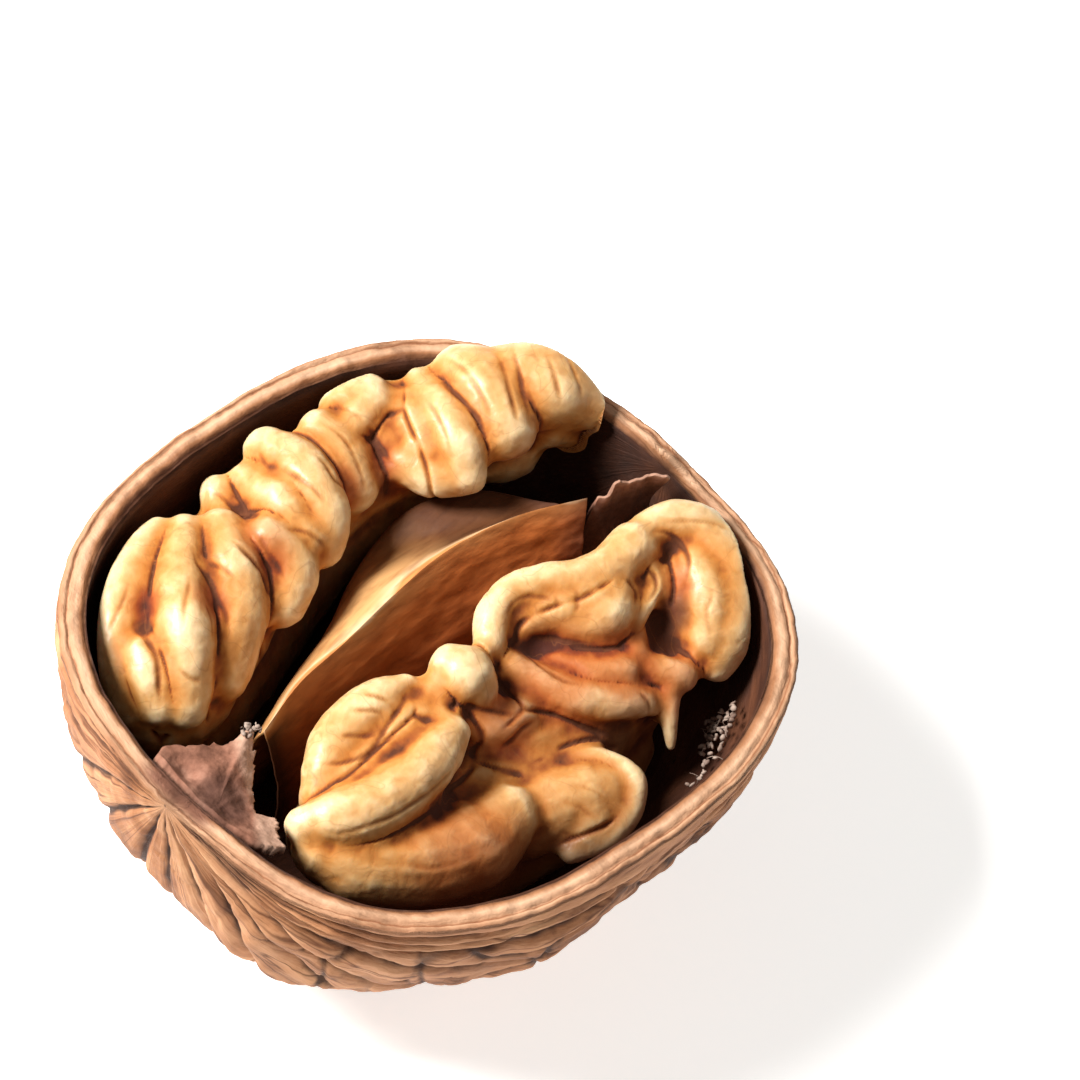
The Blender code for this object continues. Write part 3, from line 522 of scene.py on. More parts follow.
# Painted shade: the lining inside is painted dark brown to near black, as shade in the cavity.
lining = ramp(tree, broad.outputs["Fac"], ((0.3, (0.022, 0.007, 0.003)), (0.5, (0.060, 0.018, 0.007)),
                                           (0.7, (0.130, 0.042, 0.015))))
zone_value = node(tree, "Attribute", {"attribute_name": "zone"}).outputs["Fac"]
to_rim = node(tree, "MapRange", Value=zone_value, From_Max=1.0).outputs["Result"]
to_inside = node(tree, "MapRange", Value=zone_value, From_Min=1.0, From_Max=2.0).outputs["Result"]
shade = node(tree, "MixRGB", Fac=to_rim, Color1=cracked_and_shaded, Color2=rim_tan).outputs["Color"]
shade = node(tree, "MixRGB", Fac=to_inside, Color1=shade, Color2=lining).outputs["Color"]
tree.links.new(shade, shader.inputs["Base Color"])
rough = node(tree, "MapRange", Value=fibre.outputs["Fac"], To_Min=0.55, To_Max=0.85)
tree.links.new(rough.outputs["Result"], shader.inputs["Roughness"])
shader.inputs["Specular IOR Level"].default_value = 0.30
bumpy = node(tree, "Bump", Strength=0.8, Distance=0.00030, Height=fibre.outputs["Fac"])
bumpy = node(tree, "Bump", Strength=0.3, Distance=0.0001, Height=speck.outputs["Fac"],
             Normal=bumpy.outputs["Normal"])
tree.links.new(bumpy.outputs["Normal"], shader.inputs["Normal"])
shell_piece = finish_piece("walnut_shell", shell_data, ["shell_half"], shell_paint)


# Kernel, left lobe: one chain of plump folded knobs, pale and waxy on top and orange brown in
# the folds, partly the skin's own colour and partly painted highlight and painted shade. It lies
# in the cavity against the shell, held there by the partition.
# Ridges: points (x, y, z) of the middle line and the radius there, all in mm
LEFT_RIDGES = {
    "near body": ((-11.0, 8.0, -5.5, 3.6), (-7.5, 9.8, -5.2, 4.0), (-4.0, 11.2, -5.0, 3.8)),
    "middle body": ((-4.0, 11.2, -5.0, 3.7), (0.5, 12.0, -4.6, 3.2), (5.0, 12.0, -4.0, 2.8)),
    "far body": ((5.0, 12.0, -4.0, 2.8), (9.5, 11.0, -3.4, 2.6), (13.9, 8.4, -3.2, 2.4)),
    "under body": ((-8.8, 8.4, -8.2, 3.9), (-3.4, 10.2, -8.6, 3.8), (3.5, 11.2, -7.2, 2.9),
                   (8.5, 10.8, -6.0, 2.6)),
    "left ridge": ((-6.8, 13.9, -1.5, 1.1), (-9.2, 12.9, -1.6, 1.4), (-11.6, 11.4, -2.0, 1.5),
                   (-13.0, 9.6, -2.9, 1.5), (-13.5, 7.9, -4.2, 1.4)),
    "low ridge": ((-12.6, 8.8, -1.6, 0.9), (-12.9, 7.6, -2.2, 1.1), (-13.0, 6.4, -3.3, 1.1)),
    "groove floor": ((-8.4, 11.8, -2.4, 1.4), (-10.6, 9.8, -2.8, 1.6), (-12.2, 8.2, -3.4, 1.4)),
    "middle ridge": ((-5.8, 12.9, -1.2, 1.2), (-7.9, 10.9, -0.9, 1.4), (-9.9, 8.4, -0.9, 1.5),
                     (-11.1, 6.6, -1.9, 1.4), (-11.9, 5.6, -3.4, 1.3)),
    "tan face": ((-4.2, 11.8, -1.2, 1.4), (-5.4, 9.8, -1.4, 1.8), (-6.8, 7.8, -2.2, 1.9),
                 (-8.8, 6.2, -3.5, 1.7)),
    "right knob": ((-2.6, 9.8, -0.9, 1.4), (-2.2, 8.4, -1.6, 1.5), (-3.6, 7.2, -2.8, 1.4)),
    "upper band": ((1.5, 14.3, -0.9, 1.3), (1.6, 12.2, -0.3, 1.5), (1.1, 9.6, -0.8, 1.5),
                   (0.2, 8.4, -2.0, 1.3)),
    "lower band": ((-0.4, 13.6, -1.3, 1.1), (-0.5, 11.1, -0.7, 1.3), (-0.9, 8.9, -1.2, 1.3)),
    "small knob": ((-2.0, 14.3, -1.9, 1.0), (-2.7, 12.9, -2.0, 0.9)),
    "waist": ((4.6, 13.4, -0.8, 1.4), (4.6, 11.9, -1.2, 1.6), (4.2, 10.4, -2.0, 1.6)),
    "pale knob": ((6.9, 14.0, -0.9, 1.4), (8.2, 13.4, -0.6, 1.5), (6.4, 12.8, -0.6, 1.2)),
    "hooked ridge": ((11.0, 12.4, -0.4, 1.0), (10.2, 10.2, 0.3, 1.3), (9.5, 7.9, 0.3, 1.3),
                     (9.1, 6.6, -0.6, 1.1)),
    "hook underside": ((7.3, 9.7, -1.6, 1.2), (8.1, 8.0, -1.5, 1.3), (9.2, 6.7, -1.1, 1.1)),
    "hook edge": ((9.4, 13.1, -1.1, 1.1), (7.8, 11.4, -1.4, 1.2), (7.4, 10.0, -1.7, 1.2)),
    "hook floor": ((9.5, 11.3, -0.8, 1.6), (8.6, 9.4, -1.1, 1.6)),
    "far bulb": ((13.0, 11.0, 0.2, 2.0), (12.8, 9.2, 0.7, 2.1), (12.2, 7.3, 0.2, 1.9)),
    "barrel": ((14.6, 8.9, 0.6, 2.3), (15.9, 7.3, 0.7, 2.3), (17.0, 5.9, 0.2, 1.7)),
    "barrel floor": ((15.9, 7.2, -1.2, 2.0), (17.0, 6.4, -2.0, 1.6)),
}
KERNEL_VOXEL = 0.14
KERNEL_GAP = 0.7
LEFT_FILL = 0.55


def smooth_path(points, steps):
    """A soft path through the given points, with steps between each two of them."""
    rows = np.array(points, dtype=float)
    padded = np.vstack([2 * rows[0] - rows[1], rows, 2 * rows[-1] - rows[-2]])
    path = []
    for index in range(len(rows) - 1):
        a, b, c, d = padded[index:index + 4]
        for step in range(steps):
            t = step / steps
            path.append(0.5 * (2 * b + (c - a) * t + (2 * a - 5 * b + 4 * c - d) * t * t
                               + (3 * b - a - 3 * c + d) * t * t * t))
    path.append(rows[-1])
    return np.array(path)


def round_ended(path):
    """The path with points added at both ends whose radius closes to a round end."""
    start, end = [], []
    for angle in (82, 60, 35):
        out, shrink = math.sin(math.radians(angle)), math.cos(math.radians(angle))
        ahead = path[0, :3] - path[1, :3]
        ahead = ahead / np.linalg.norm(ahead)
        start.append([*(path[0, :3] + ahead * path[0, 3] * out), path[0, 3] * shrink])
        ahead = path[-1, :3] - path[-2, :3]
        ahead = ahead / np.linalg.norm(ahead)
        end.append([*(path[-1, :3] + ahead * path[-1, 3] * out), path[-1, 3] * shrink])
    return np.vstack([start, path, end[::-1]])


def evaluated_copy(item):
    """The mesh of an object with its modifiers turned into plain points and faces."""
    bpy.context.scene.collection.objects.link(item)
    bpy.context.view_layer.update()
    graph = bpy.context.evaluated_depsgraph_get()
    result = bpy.data.meshes.new_from_object(item.evaluated_get(graph))
    bpy.data.objects.remove(item, do_unlink=True)
    return result


def ridge_mesh(name, ridges, voxel, fill, passes):
    """Round ridges drawn as bevelled curves, grown together into one skin. The folds between
    them are filled up to where they are twice fill wide."""
    curve = bpy.data.curves.new(name, "CURVE")
    curve.dimensions = "3D"
    curve.bevel_depth = MM
    curve.bevel_resolution = 6
    curve.use_fill_caps = True
    for points in ridges.values():
        path = round_ended(smooth_path(points, 8))
        spline = curve.splines.new("POLY")
        spline.points.add(len(path) - 1)
        for place, (x, y, z, radius) in zip(spline.points, path):
            place.co = (x * MM, y * MM, (z + RIM_HEIGHT) * MM, 1.0)
            place.radius = radius
    tubes = evaluated_copy(bpy.data.objects.new(name, curve))
    skin = bpy.data.objects.new(name, tubes)
    for swell in (fill, -fill, 0.0):
        remesh = skin.modifiers.new("remesh", "REMESH")
        remesh.mode = "VOXEL"
        remesh.voxel_size = voxel * MM
        grow = skin.modifiers.new("grow", "DISPLACE")
        grow.mid_level = 0.0
        grow.strength = swell * MM
    soften = skin.modifiers.new("soften", "SMOOTH")
    soften.factor = 0.5
    soften.iterations = passes
    return evaluated_copy(skin)


def get_points(data):
    flat = np.empty(len(data.vertices) * 3)
    data.vertices.foreach_get("co", flat)
    return flat.reshape(-1, 3) / MM - np.array([0.0, 0.0, RIM_HEIGHT])


def get_normals(data):
    flat = np.empty(len(data.vertices) * 3, dtype=np.float32)
    data.vertex_normals.foreach_get("vector", flat)
    return flat.reshape(-1, 3).astype(float)


def set_points(data, points):
    data.vertices.foreach_set("co", ((points + np.array([0.0, 0.0, RIM_HEIGHT])) * MM).ravel())
    data.update()


def averaged(data, values, passes):
    """Values of the mesh's points, each drawn to the mean of its neighbours, passes times."""
    ends = np.empty(len(data.edges) * 2, dtype=np.int32)
    data.edges.foreach_get("vertices", ends)
    a, b = ends.reshape(-1, 2).T
    total = len(data.vertices)
    degree = np.maximum(np.bincount(a, minlength=total) + np.bincount(b, minlength=total), 1)
    result = np.array(values, dtype=float).reshape(total, -1)
    for _ in range(passes):
        result = np.stack([(np.bincount(a, column[b], total) + np.bincount(b, column[a], total))
                           / degree for column in result.T], axis=1)
    return result


def keep_in_cavity(points, gap):
    """Pulls points back so that they clear the inner face of the shell."""
    inside = points.copy()
    under = np.minimum(inside[:, 2], 0.0)
    lines = np.stack([inside[:, 0], inside[:, 1], under], axis=1)
    length = np.maximum(np.linalg.norm(lines, axis=1), 1e-6)
    over = smooth_step(0.3, 1.5, inside[:, 2]) * 0.9
    allowed = cavity_radius(lines / length[:, None]) - gap + over
    shrink = np.minimum(1.0, allowed / length)
    inside[:, 0] *= shrink
    inside[:, 1] *= shrink
    inside[:, 2] = np.where(inside[:, 2] < 0.0, inside[:, 2] * shrink, inside[:, 2])
    return inside


def fold_lines(points, ridges):
    """How near each point lies to the bottom of a fold between two ridges, from 0 to 1."""
    apart = []
    for name, rows in ridges.items():
        if name.endswith(("body", "floor", "root", "core", "underside")):
            continue
        path = round_ended(smooth_path(rows, 8))
        nearest = np.full(len(points), 9.0)
        for x, y, z, radius in path:
            gap = np.sqrt(((points - (x, y, z)) ** 2).sum(axis=1)) - radius
            nearest = np.minimum(nearest, gap)
        apart.append(nearest)
    apart = np.sort(np.array(apart), axis=0)[:2]
    between = np.exp(-(((apart[1] - apart[0]) / 0.20) ** 2))
    broken = smooth_step(-0.35, 0.05, grain_noise(points, 0.35, 2))
    return between * broken * smooth_step(0.05, 0.22, apart[0]) * smooth_step(1.6, 1.0, apart[0])


def vein_lines(data, points, veins):
    """How near each point lies to one of the given veins, laid on the skin, from 0 to 1. A vein
    fades at both ends and breaks up along its length."""
    skin = BVHTree.FromPolygons([tuple(point) for point in points],
                                [tuple(face.vertices) for face in data.polygons])
    near = np.zeros(len(points))
    for strength, line in veins:
        dots = [skin.find_nearest(Vector(dot), 1.5)[0] for dot in smooth_path(line, 14)]
        dots = [dot for dot in dots if dot is not None]
        tree = kdtree.KDTree(len(dots))
        for index, dot in enumerate(dots):
            tree.insert(dot, index)
        tree.balance()
        middle_dot = np.mean(np.array(dots), axis=0)
        reach = np.linalg.norm(np.array(dots) - middle_dot, axis=1).max() + 0.6
        for index in np.flatnonzero(np.linalg.norm(points - middle_dot, axis=1) < reach):
            spot, number, gap = tree.find(points[index])
            end = min(number + 1, len(dots) - number) / (0.30 * len(dots))
            depth = strength * min(1.0, end) * (0.95 + 0.5 * noise.noise(spot * 1.1))
            near[index] = max(near[index], depth * math.exp(-((gap / 0.15) ** 2)))
    return np.clip(near, 0.0, 1.0)


def near_places(points, places):
    """How near each point lies to one of the places (x, y, z, radius), from 0 to 1."""
    near = np.zeros(len(points))
    for x, y, z, radius in places:
        apart = np.linalg.norm((points - (x, y, z)) * (1.0, 1.0, 0.8), axis=1)
        near = np.maximum(near, smooth_step(radius, 0.45 * radius, apart))
    return near


def kernel_data(name, ridges, veins, fill, ruddy, dark):
    """The finished mesh of one lobe. Its skin is redder at the ruddy places, and painted dark brown
    as shade low down and at the dark places."""
    data = ridge_mesh(name, ridges, KERNEL_VOXEL, fill, 4)
    points, normals = get_points(data), get_normals(data)
    folds = fold_lines(points, ridges)
    drawn = vein_lines(data, points, veins)
    lively = 0.16 * grain_noise(points, 0.33, 2) + 0.03 * grain_noise(points, 1.5, 3)
    points = points + normals * (lively - 0.20 * folds - 0.13 * drawn)[:, None]
    points = keep_in_cavity(points, KERNEL_GAP)
    set_points(data, points)
    normals = get_normals(data)
    narrow = np.einsum("ij,ij->i", points - averaged(data, points, 14), normals)
    wide = np.einsum("ij,ij->i", points - averaged(data, points, 110), normals)
    set_values(data, "narrow", np.clip(narrow / 0.10, -1.0, 1.0))
    set_values(data, "wide", np.clip(wide / 0.50, -1.0, 1.0))
    # The vein mark holds the drawn veins and, weaker, the fold bottoms, whose dark is painted shade.
    set_values(data, "vein", np.maximum(drawn, 0.7 * folds))
    # Painted shade: dark brown low in the cavity and at the given dark places, where shade falls.
    shade_low_down = smooth_step(-2.6, -6.4, points[:, 2])
    set_values(data, "painted_shade", np.maximum(shade_low_down, near_places(points, dark)))
    set_values(data, "ruddy", near_places(points, ruddy))
    return data


kernel_paint, tree, shader = paint("kernel_skin")
spot = node(tree, "TexCoord").outputs["Object"]
cloud = node(tree, "TexNoise", Vector=spot, Scale=330.0, Detail=4.0).outputs["Fac"]
wrinkle = node(tree, "TexNoise", Vector=spot, Scale=1300.0, Detail=5.0, Distortion=0.8).outputs["Fac"]
pore = node(tree, "TexNoise", Vector=spot, Scale=5200.0, Detail=2.0).outputs["Fac"]
thread = node(tree, "TexNoise", Vector=spot, Scale=310.0, Detail=2.5, Distortion=0.5).outputs["Fac"]
wide_value = node(tree, "Attribute", {"attribute_name": "wide"}).outputs["Fac"]
narrow_value = node(tree, "Attribute", {"attribute_name": "narrow"}).outputs["Fac"]
vein_and_fold_shade_value = node(tree, "Attribute", {"attribute_name": "vein"}).outputs["Fac"]
painted_shade_value = node(tree, "Attribute", {"attribute_name": "painted_shade"}).outputs["Fac"]
# Skin colour from how the surface bends: pale on ridges, orange brown in folds, near black in the
# deepest. Partly the skin's own colour, partly painted highlight on ridges and painted shade in folds.
height = node(tree, "Math", {"operation": "MULTIPLY_ADD"}, _0=wide_value, _1=0.44, _2=0.46)
height = node(tree, "Math", {"operation": "MULTIPLY_ADD"}, _0=narrow_value, _1=0.25,
              _2=height.outputs[0])
drift = node(tree, "MapRange", Value=cloud, From_Min=0.3, From_Max=0.7, To_Min=-0.10, To_Max=0.10)
height = node(tree, "Math", {"operation": "ADD"}, _0=height.outputs[0], _1=drift.outputs[0])
skin = ramp(tree, height.outputs[0], ((0.04, (0.085, 0.019, 0.003)), (0.20, (0.300, 0.072, 0.008)),
                                      (0.35, (0.510, 0.172, 0.024)), (0.53, (0.610, 0.260, 0.064)),
                                      (0.74, (0.690, 0.385, 0.150)), (0.96, (0.840, 0.605, 0.330))))
ruddy_value = node(tree, "Attribute", {"attribute_name": "ruddy"}).outputs["Fac"]
ruddy_part = node(tree, "MapRange", Value=ruddy_value, To_Max=0.90).outputs["Result"]
skin = node(tree, "MixRGB", {"blend_type": "MULTIPLY"}, Fac=ruddy_part, Color1=skin,
            Color2=(0.74, 0.45, 0.34, 1.0)).outputs["Color"]
# Painted shade: the skin turns dark brown low down and at the dark places.
painted_shade_part = node(tree, "MapRange", Value=painted_shade_value, To_Max=0.80).outputs["Result"]
skin = node(tree, "MixRGB", Fac=painted_shade_part, Color1=skin, Color2=(0.085, 0.022, 0.006, 1.0))
off_middle = node(tree, "Math", {"operation": "SUBTRACT"}, _0=thread, _1=0.5)
off_middle = node(tree, "Math", {"operation": "ABSOLUTE"}, _0=off_middle.outputs[0])
thread_part = node(tree, "MapRange", Value=off_middle.outputs[0], From_Max=0.010, To_Min=0.26,
                   To_Max=0.0).outputs["Result"]
skin = node(tree, "MixRGB", Fac=thread_part, Color1=skin.outputs["Color"],
            Color2=(0.30, 0.095, 0.020, 1.0))
# Dark veins, and painted shade along the fold bottoms.
vein_and_fold_shade_part = node(tree, "MapRange", Value=vein_and_fold_shade_value, From_Min=0.15, From_Max=0.90,
                 To_Max=0.80).outputs["Result"]
skin = node(tree, "MixRGB", Fac=vein_and_fold_shade_part, Color1=skin.outputs["Color"],
            Color2=(0.16, 0.042, 0.009, 1.0))
fleck = ramp(tree, wrinkle, ((0.3, (0.80, 0.72, 0.62)), (0.55, (1.0, 1.0, 1.0))))
skin = node(tree, "MixRGB", {"blend_type": "MULTIPLY"}, Fac=0.6, Color1=skin.outputs["Color"],
            Color2=fleck)
tree.links.new(skin.outputs["Color"], shader.inputs["Base Color"])
rough = node(tree, "MapRange", Value=height.outputs[0], From_Min=0.25, From_Max=0.70,
             To_Min=0.80, To_Max=0.32)
rough = node(tree, "Math", {"operation": "MULTIPLY_ADD"}, _0=wrinkle, _1=0.16,
             _2=rough.outputs["Result"])
tree.links.new(rough.outputs[0], shader.inputs["Roughness"])
shader.inputs["Specular IOR Level"].default_value = 0.42
shader.inputs["Subsurface Weight"].default_value = 0.14
shader.inputs["Subsurface Radius"].default_value = (1.0, 0.45, 0.18)
shader.inputs["Subsurface Scale"].default_value = 0.0012
bumpy = node(tree, "Bump", Strength=0.35, Distance=0.00012, Height=wrinkle)
bumpy = node(tree, "Bump", Strength=0.12, Distance=0.00004, Height=pore,
             Normal=bumpy.outputs["Normal"])
tree.links.new(bumpy.outputs["Normal"], shader.inputs["Normal"])
# Dark veins and creases of the skin: strength, then points in mm along it
LEFT_VEINS = (
    (0.6, ((-13.4, 10.4, -1.6), (-12.4, 11.0, -0.8), (-11.4, 11.5, -0.4), (-10.4, 12.2, -0.2))),
    (0.5, ((-10.8, 7.6, 0.2), (-10.2, 8.4, 0.6), (-9.2, 9.2, 0.6), (-8.4, 9.9, 0.5))),
    (0.6, ((-9.6, 6.4, -0.6), (-8.9, 7.3, 0.0), (-8.6, 8.4, 0.4))),
    (0.5, ((-3.2, 10.9, 0.3), (-3.6, 9.6, 0.4), (-3.8, 8.2, -0.2), (-3.5, 7.0, -1.2))),
    (0.6, ((4.2, 13.6, 0.4), (4.6, 12.0, 0.4), (4.4, 10.6, -0.4), (4.1, 9.4, -1.4))),
    (0.6, ((12.0, 12.2, 1.6), (11.9, 10.6, 2.2), (11.6, 9.0, 2.2), (11.2, 7.2, 1.6))),
    (0.5, ((9.6, 11.4, 1.0), (9.2, 10.0, 1.4), (8.7, 8.4, 1.2), (8.6, 7.2, 0.4))),
    (1.0, ((-11.9, 10.2, -0.7), (-12.2, 8.8, -0.9), (-12.5, 7.7, -1.0), (-13.2, 6.6, -1.7),
           (-13.6, 6.0, -2.5))),
    (0.8, ((-6.8, 11.4, 0.3), (-7.3, 10.5, 0.2), (-7.3, 9.4, -0.1), (-7.7, 8.2, -0.3),
           (-7.9, 7.4, -0.5), (-8.4, 6.6, -1.0))),
    (1.0, ((-5.0, 10.6, 0.4), (-4.9, 9.7, 0.4), (-4.8, 8.9, -0.1), (-4.6, 8.2, -0.5),
           (-4.7, 7.5, -1.1), (-4.5, 6.8, -1.7))),
    (0.7, ((-2.2, 9.4, 0.3), (-1.3, 8.8, 0.1), (-0.7, 8.0, -0.4), (-0.4, 7.6, -1.1))),
    (0.5, ((-12.0, 6.5, -1.0), (-11.9, 5.7, -1.1), (-11.2, 5.2, -1.4))),
    (0.5, ((-6.7, 10.4, 0.0), (-6.4, 9.5, 0.1), (-6.2, 8.4, 0.0))),
    (0.7, ((6.3, 12.1, 0.2), (6.7, 11.6, -0.8), (6.5, 10.6, -0.8), (6.3, 9.4, -0.9))),
    (1.0, ((10.9, 11.1, 1.3), (10.8, 10.1, 1.5), (10.8, 9.0, 1.5), (10.7, 7.9, 1.4),
           (10.4, 7.0, 0.8))),
    (0.7, ((0.3, 12.4, 0.5), (0.6, 11.2, 0.6), (0.7, 10.1, 0.7), (0.7, 8.9, 0.5))),
    (0.6, ((2.0, 11.9, 1.1), (2.2, 10.9, 0.9), (2.2, 9.8, 0.6), (3.1, 9.4, -1.1))),
    (0.8, ((14.8, 9.8, 2.6), (13.9, 8.4, 2.8), (13.4, 7.3, 2.3), (13.0, 6.3, 1.4))),
    (0.6, ((13.7, 7.5, 2.5), (13.6, 6.8, 1.8), (13.9, 6.1, 0.4))),
    (0.7, ((15.8, 8.3, 3.0), (15.1, 6.8, 2.8), (14.8, 5.8, 1.7))),
    (0.6, ((16.8, 7.6, 2.8), (16.3, 6.3, 2.6), (15.9, 5.2, 1.6))),
    (0.7, ((14.0, 10.3, 2.3), (13.2, 8.6, 2.7), (12.5, 7.3, 2.3), (11.8, 6.1, 1.6))),
    (0.4, ((5.9, 13.9, 0.3), (6.1, 12.9, 0.4), (6.3, 12.1, 0.2))),
    (0.5, ((-2.7, 14.4, -1.4), (-2.5, 13.5, -1.1), (-2.6, 12.3, -1.1), (-3.3, 10.5, 0.1))),
    (0.4, ((0.5, 14.4, 0.0), (0.1, 13.3, 0.2), (0.3, 12.4, 0.5))),
)
LEFT_RUDDY = ((-3.4, 9.4, -1.2, 2.4), (6.3, 10.2, -2.2, 1.9), (-8.4, 8.4, -0.4, 1.6),
              (12.6, 6.4, -0.6, 2.0), (-10.6, 10.4, -1.4, 1.6), (2.9, 10.2, -1.2, 1.8))
# Places (x, y, z, radius) where the skin is painted dark as shade
LEFT_SHADE_PLACES = ((5.8, 10.2, -2.6, 1.6), (11.4, 7.4, -1.8, 1.4))
left_data = kernel_data("walnut_kernel_left", LEFT_RIDGES, LEFT_VEINS, LEFT_FILL, LEFT_RUDDY,
                        LEFT_SHADE_PLACES)
left_piece = finish_piece("walnut_kernel_left", left_data, ["kernel_left_lobe"],
                          kernel_paint)


# Kernel, right lobe: two long lips, a small knob, a wavy ridge and a tall arch, grown as one
# fleshy body. It lies in the cavity on the other side of the partition.
RIGHT_FILL = 0.46
RIGHT_RIDGES = {
    "lower lobe": ((-12.0, -5.4, -4.0, 1.8), (-10.3, -6.9, -4.7, 2.3), (-7.6, -8.4, -5.2, 2.6),
                   (-4.6, -9.3, -5.4, 2.5), (-2.6, -9.4, -4.9, 1.9)),
    "near body": ((-9.5, -4.4, -6.2, 2.8), (-5.0, -6.0, -7.0, 3.6), (0.0, -7.0, -7.5, 3.8),
                  (5.0, -7.0, -6.8, 3.4)),
    "far body": ((5.0, -6.6, -6.5, 3.4), (9.5, -6.2, -5.5, 3.2), (13.0, -6.0, -4.8, 2.8)),
    "under body": ((-6.5, -6.6, -9.2, 3.7), (0.5, -7.4, -9.8, 3.9), (7.0, -7.0, -8.8, 3.6)),
    "core": ((0.5, -5.0, -5.0, 2.4), (5.0, -5.0, -4.2, 2.2), (9.5, -5.0, -3.6, 2.2)),
    "upper lip": ((-9.5, -2.3, -2.6, 1.3), (-8.0, -1.6, -2.2, 1.5), (-6.2, -1.3, -1.8, 1.5),
                  (-4.5, -1.3, -1.5, 1.3), (-3.2, -1.5, -1.2, 0.8)),
    "lip floor": ((-9.8, -3.4, -3.4, 1.8), (-6.4, -3.3, -2.9, 1.9), (-3.6, -3.0, -2.3, 1.7)),
    "lower lip": ((-12.5, -4.2, -2.7, 1.1), (-11.2, -5.1, -2.2, 1.5), (-9.4, -5.8, -1.9, 1.6),
                  (-7.2, -5.9, -1.8, 1.6), (-4.6, -5.5, -1.8, 1.5), (-3.0, -4.9, -1.8, 1.1)),
    "lip end": ((-3.2, -4.6, -1.7, 0.9), (-2.7, -3.3, -1.5, 0.7), (-2.7, -2.3, -1.3, 0.6)),
    "small knob": ((-0.45, -2.3, -0.9, 1.4), (-0.2, -3.0, -0.9, 1.6), (0.0, -3.6, -1.4, 1.35)),
    "bead": ((-2.2, -2.5, -1.0, 0.5), (-2.1, -3.2, -1.2, 0.5)),
    "knob root": ((-0.6, -3.8, -2.8, 1.4), (0.2, -5.2, -3.6, 1.5), (1.6, -5.6, -3.3, 1.2)),
    "wavy ridge": ((2.4, -2.2, -1.0, 0.9), (3.6, -1.2, -0.7, 1.0), (5.2, -0.9, -0.4, 1.1),
                   (6.9, -1.6, -0.1, 1.1), (8.5, -2.7, 0.0, 1.2), (10.4, -3.1, 0.1, 1.3),
                   (12.6, -2.8, 0.1, 1.4)),
    "wavy lower": ((4.5, -1.9, -1.8, 0.7), (6.1, -2.6, -1.8, 1.1), (7.4, -3.8, -1.4, 1.4),
                   (8.7, -4.6, -0.9, 1.6), (9.6, -4.2, -0.6, 1.4)),
    "arch": ((12.3, -2.7, 0.0, 1.2), (14.4, -2.8, 0.2, 1.3), (15.9, -4.0, 0.0, 1.5),
             (16.1, -5.9, -0.4, 1.5), (15.1, -7.7, -1.0, 1.5), (13.9, -9.0, -2.0, 1.4),
             (12.8, -9.5, -3.2, 1.2)),
    "arch inner ridge": ((15.0, -4.4, -0.3, 0.9), (14.5, -6.0, -0.5, 1.3),
                         (13.8, -7.5, -1.1, 1.5), (12.9, -8.6, -2.2, 1.3)),
    "arch floor": ((13.6, -4.4, -1.4, 1.6), (13.4, -6.4, -1.9, 1.7), (12.9, -8.2, -2.7, 1.5)),
    "arch root": ((13.2, -4.7, -2.4, 1.6), (13.2, -6.7, -2.8, 1.8), (12.7, -8.2, -3.8, 1.6)),
    "hollow floor": ((4.4, -1.9, -1.9, 1.2), (6.0, -2.2, -1.4, 1.5), (7.5, -3.0, -0.9, 1.6),
                     (8.9, -3.8, -0.6, 1.6)),
    "hollow root": ((5.0, -2.2, -3.2, 1.1), (6.7, -2.8, -3.2, 1.3), (8.3, -3.5, -2.6, 1.3)),
    "thin ridge": ((12.3, -4.4, -0.2, 0.5), (11.8, -5.2, -0.5, 0.5), (10.8, -5.6, -0.8, 0.5),
                   (9.8, -5.9, -1.1, 0.5)),
    "thin floor": ((11.3, -4.2, -1.0, 1.1), (10.5, -4.9, -1.2, 1.0)),
    "pink ridge": ((2.8, -3.4, -2.1, 0.9), (3.7, -5.2, -2.5, 1.0), (4.9, -7.1, -2.8, 1.1),
                   (6.4, -8.4, -2.9, 1.0), (7.6, -9.0, -3.2, 0.9)),
    "pink floor": ((4.6, -4.6, -3.1, 1.3), (6.2, -6.0, -3.1, 1.5), (8.2, -6.8, -3.4, 1.5)),
    "pink fold": ((5.2, -4.8, -2.2, 0.6), (6.2, -6.4, -2.3, 0.9), (7.7, -7.4, -2.4, 1.0)),
    "pink knob": ((9.6, -6.2, -2.2, 0.8), (8.9, -7.0, -2.3, 0.9)),
    "outer knob": ((8.2, -7.0, -3.0, 1.1), (9.5, -8.3, -2.8, 1.0), (10.4, -9.3, -3.0, 0.9)),
    "outer arm": ((9.6, -8.9, -3.3, 0.9), (8.8, -10.2, -3.9, 0.6), (8.0, -11.4, -5.0, 0.3)),
    "low ridge": ((1.0, -6.6, -4.5, 1.2), (2.9, -7.1, -4.4, 1.1), (4.2, -7.6, -4.8, 1.0)),
    "side lobe rim": ((2.2, -8.7, -4.6, 0.6), (3.8, -10.0, -4.1, 0.6), (4.3, -11.9, -4.1, 0.6),
                      (3.5, -13.0, -4.8, 0.7), (1.7, -13.3, -5.6, 0.7), (-0.3, -12.5, -6.4, 0.7)),
    "side lobe floor": ((1.0, -10.4, -5.2, 1.6), (2.9, -11.2, -5.1, 1.6), (1.4, -11.9, -5.9, 1.7)),
    "side lobe": ((-0.8, -9.2, -6.4, 2.4), (0.6, -9.9, -5.9, 2.3), (2.4, -11.0, -5.6, 2.2)),
}
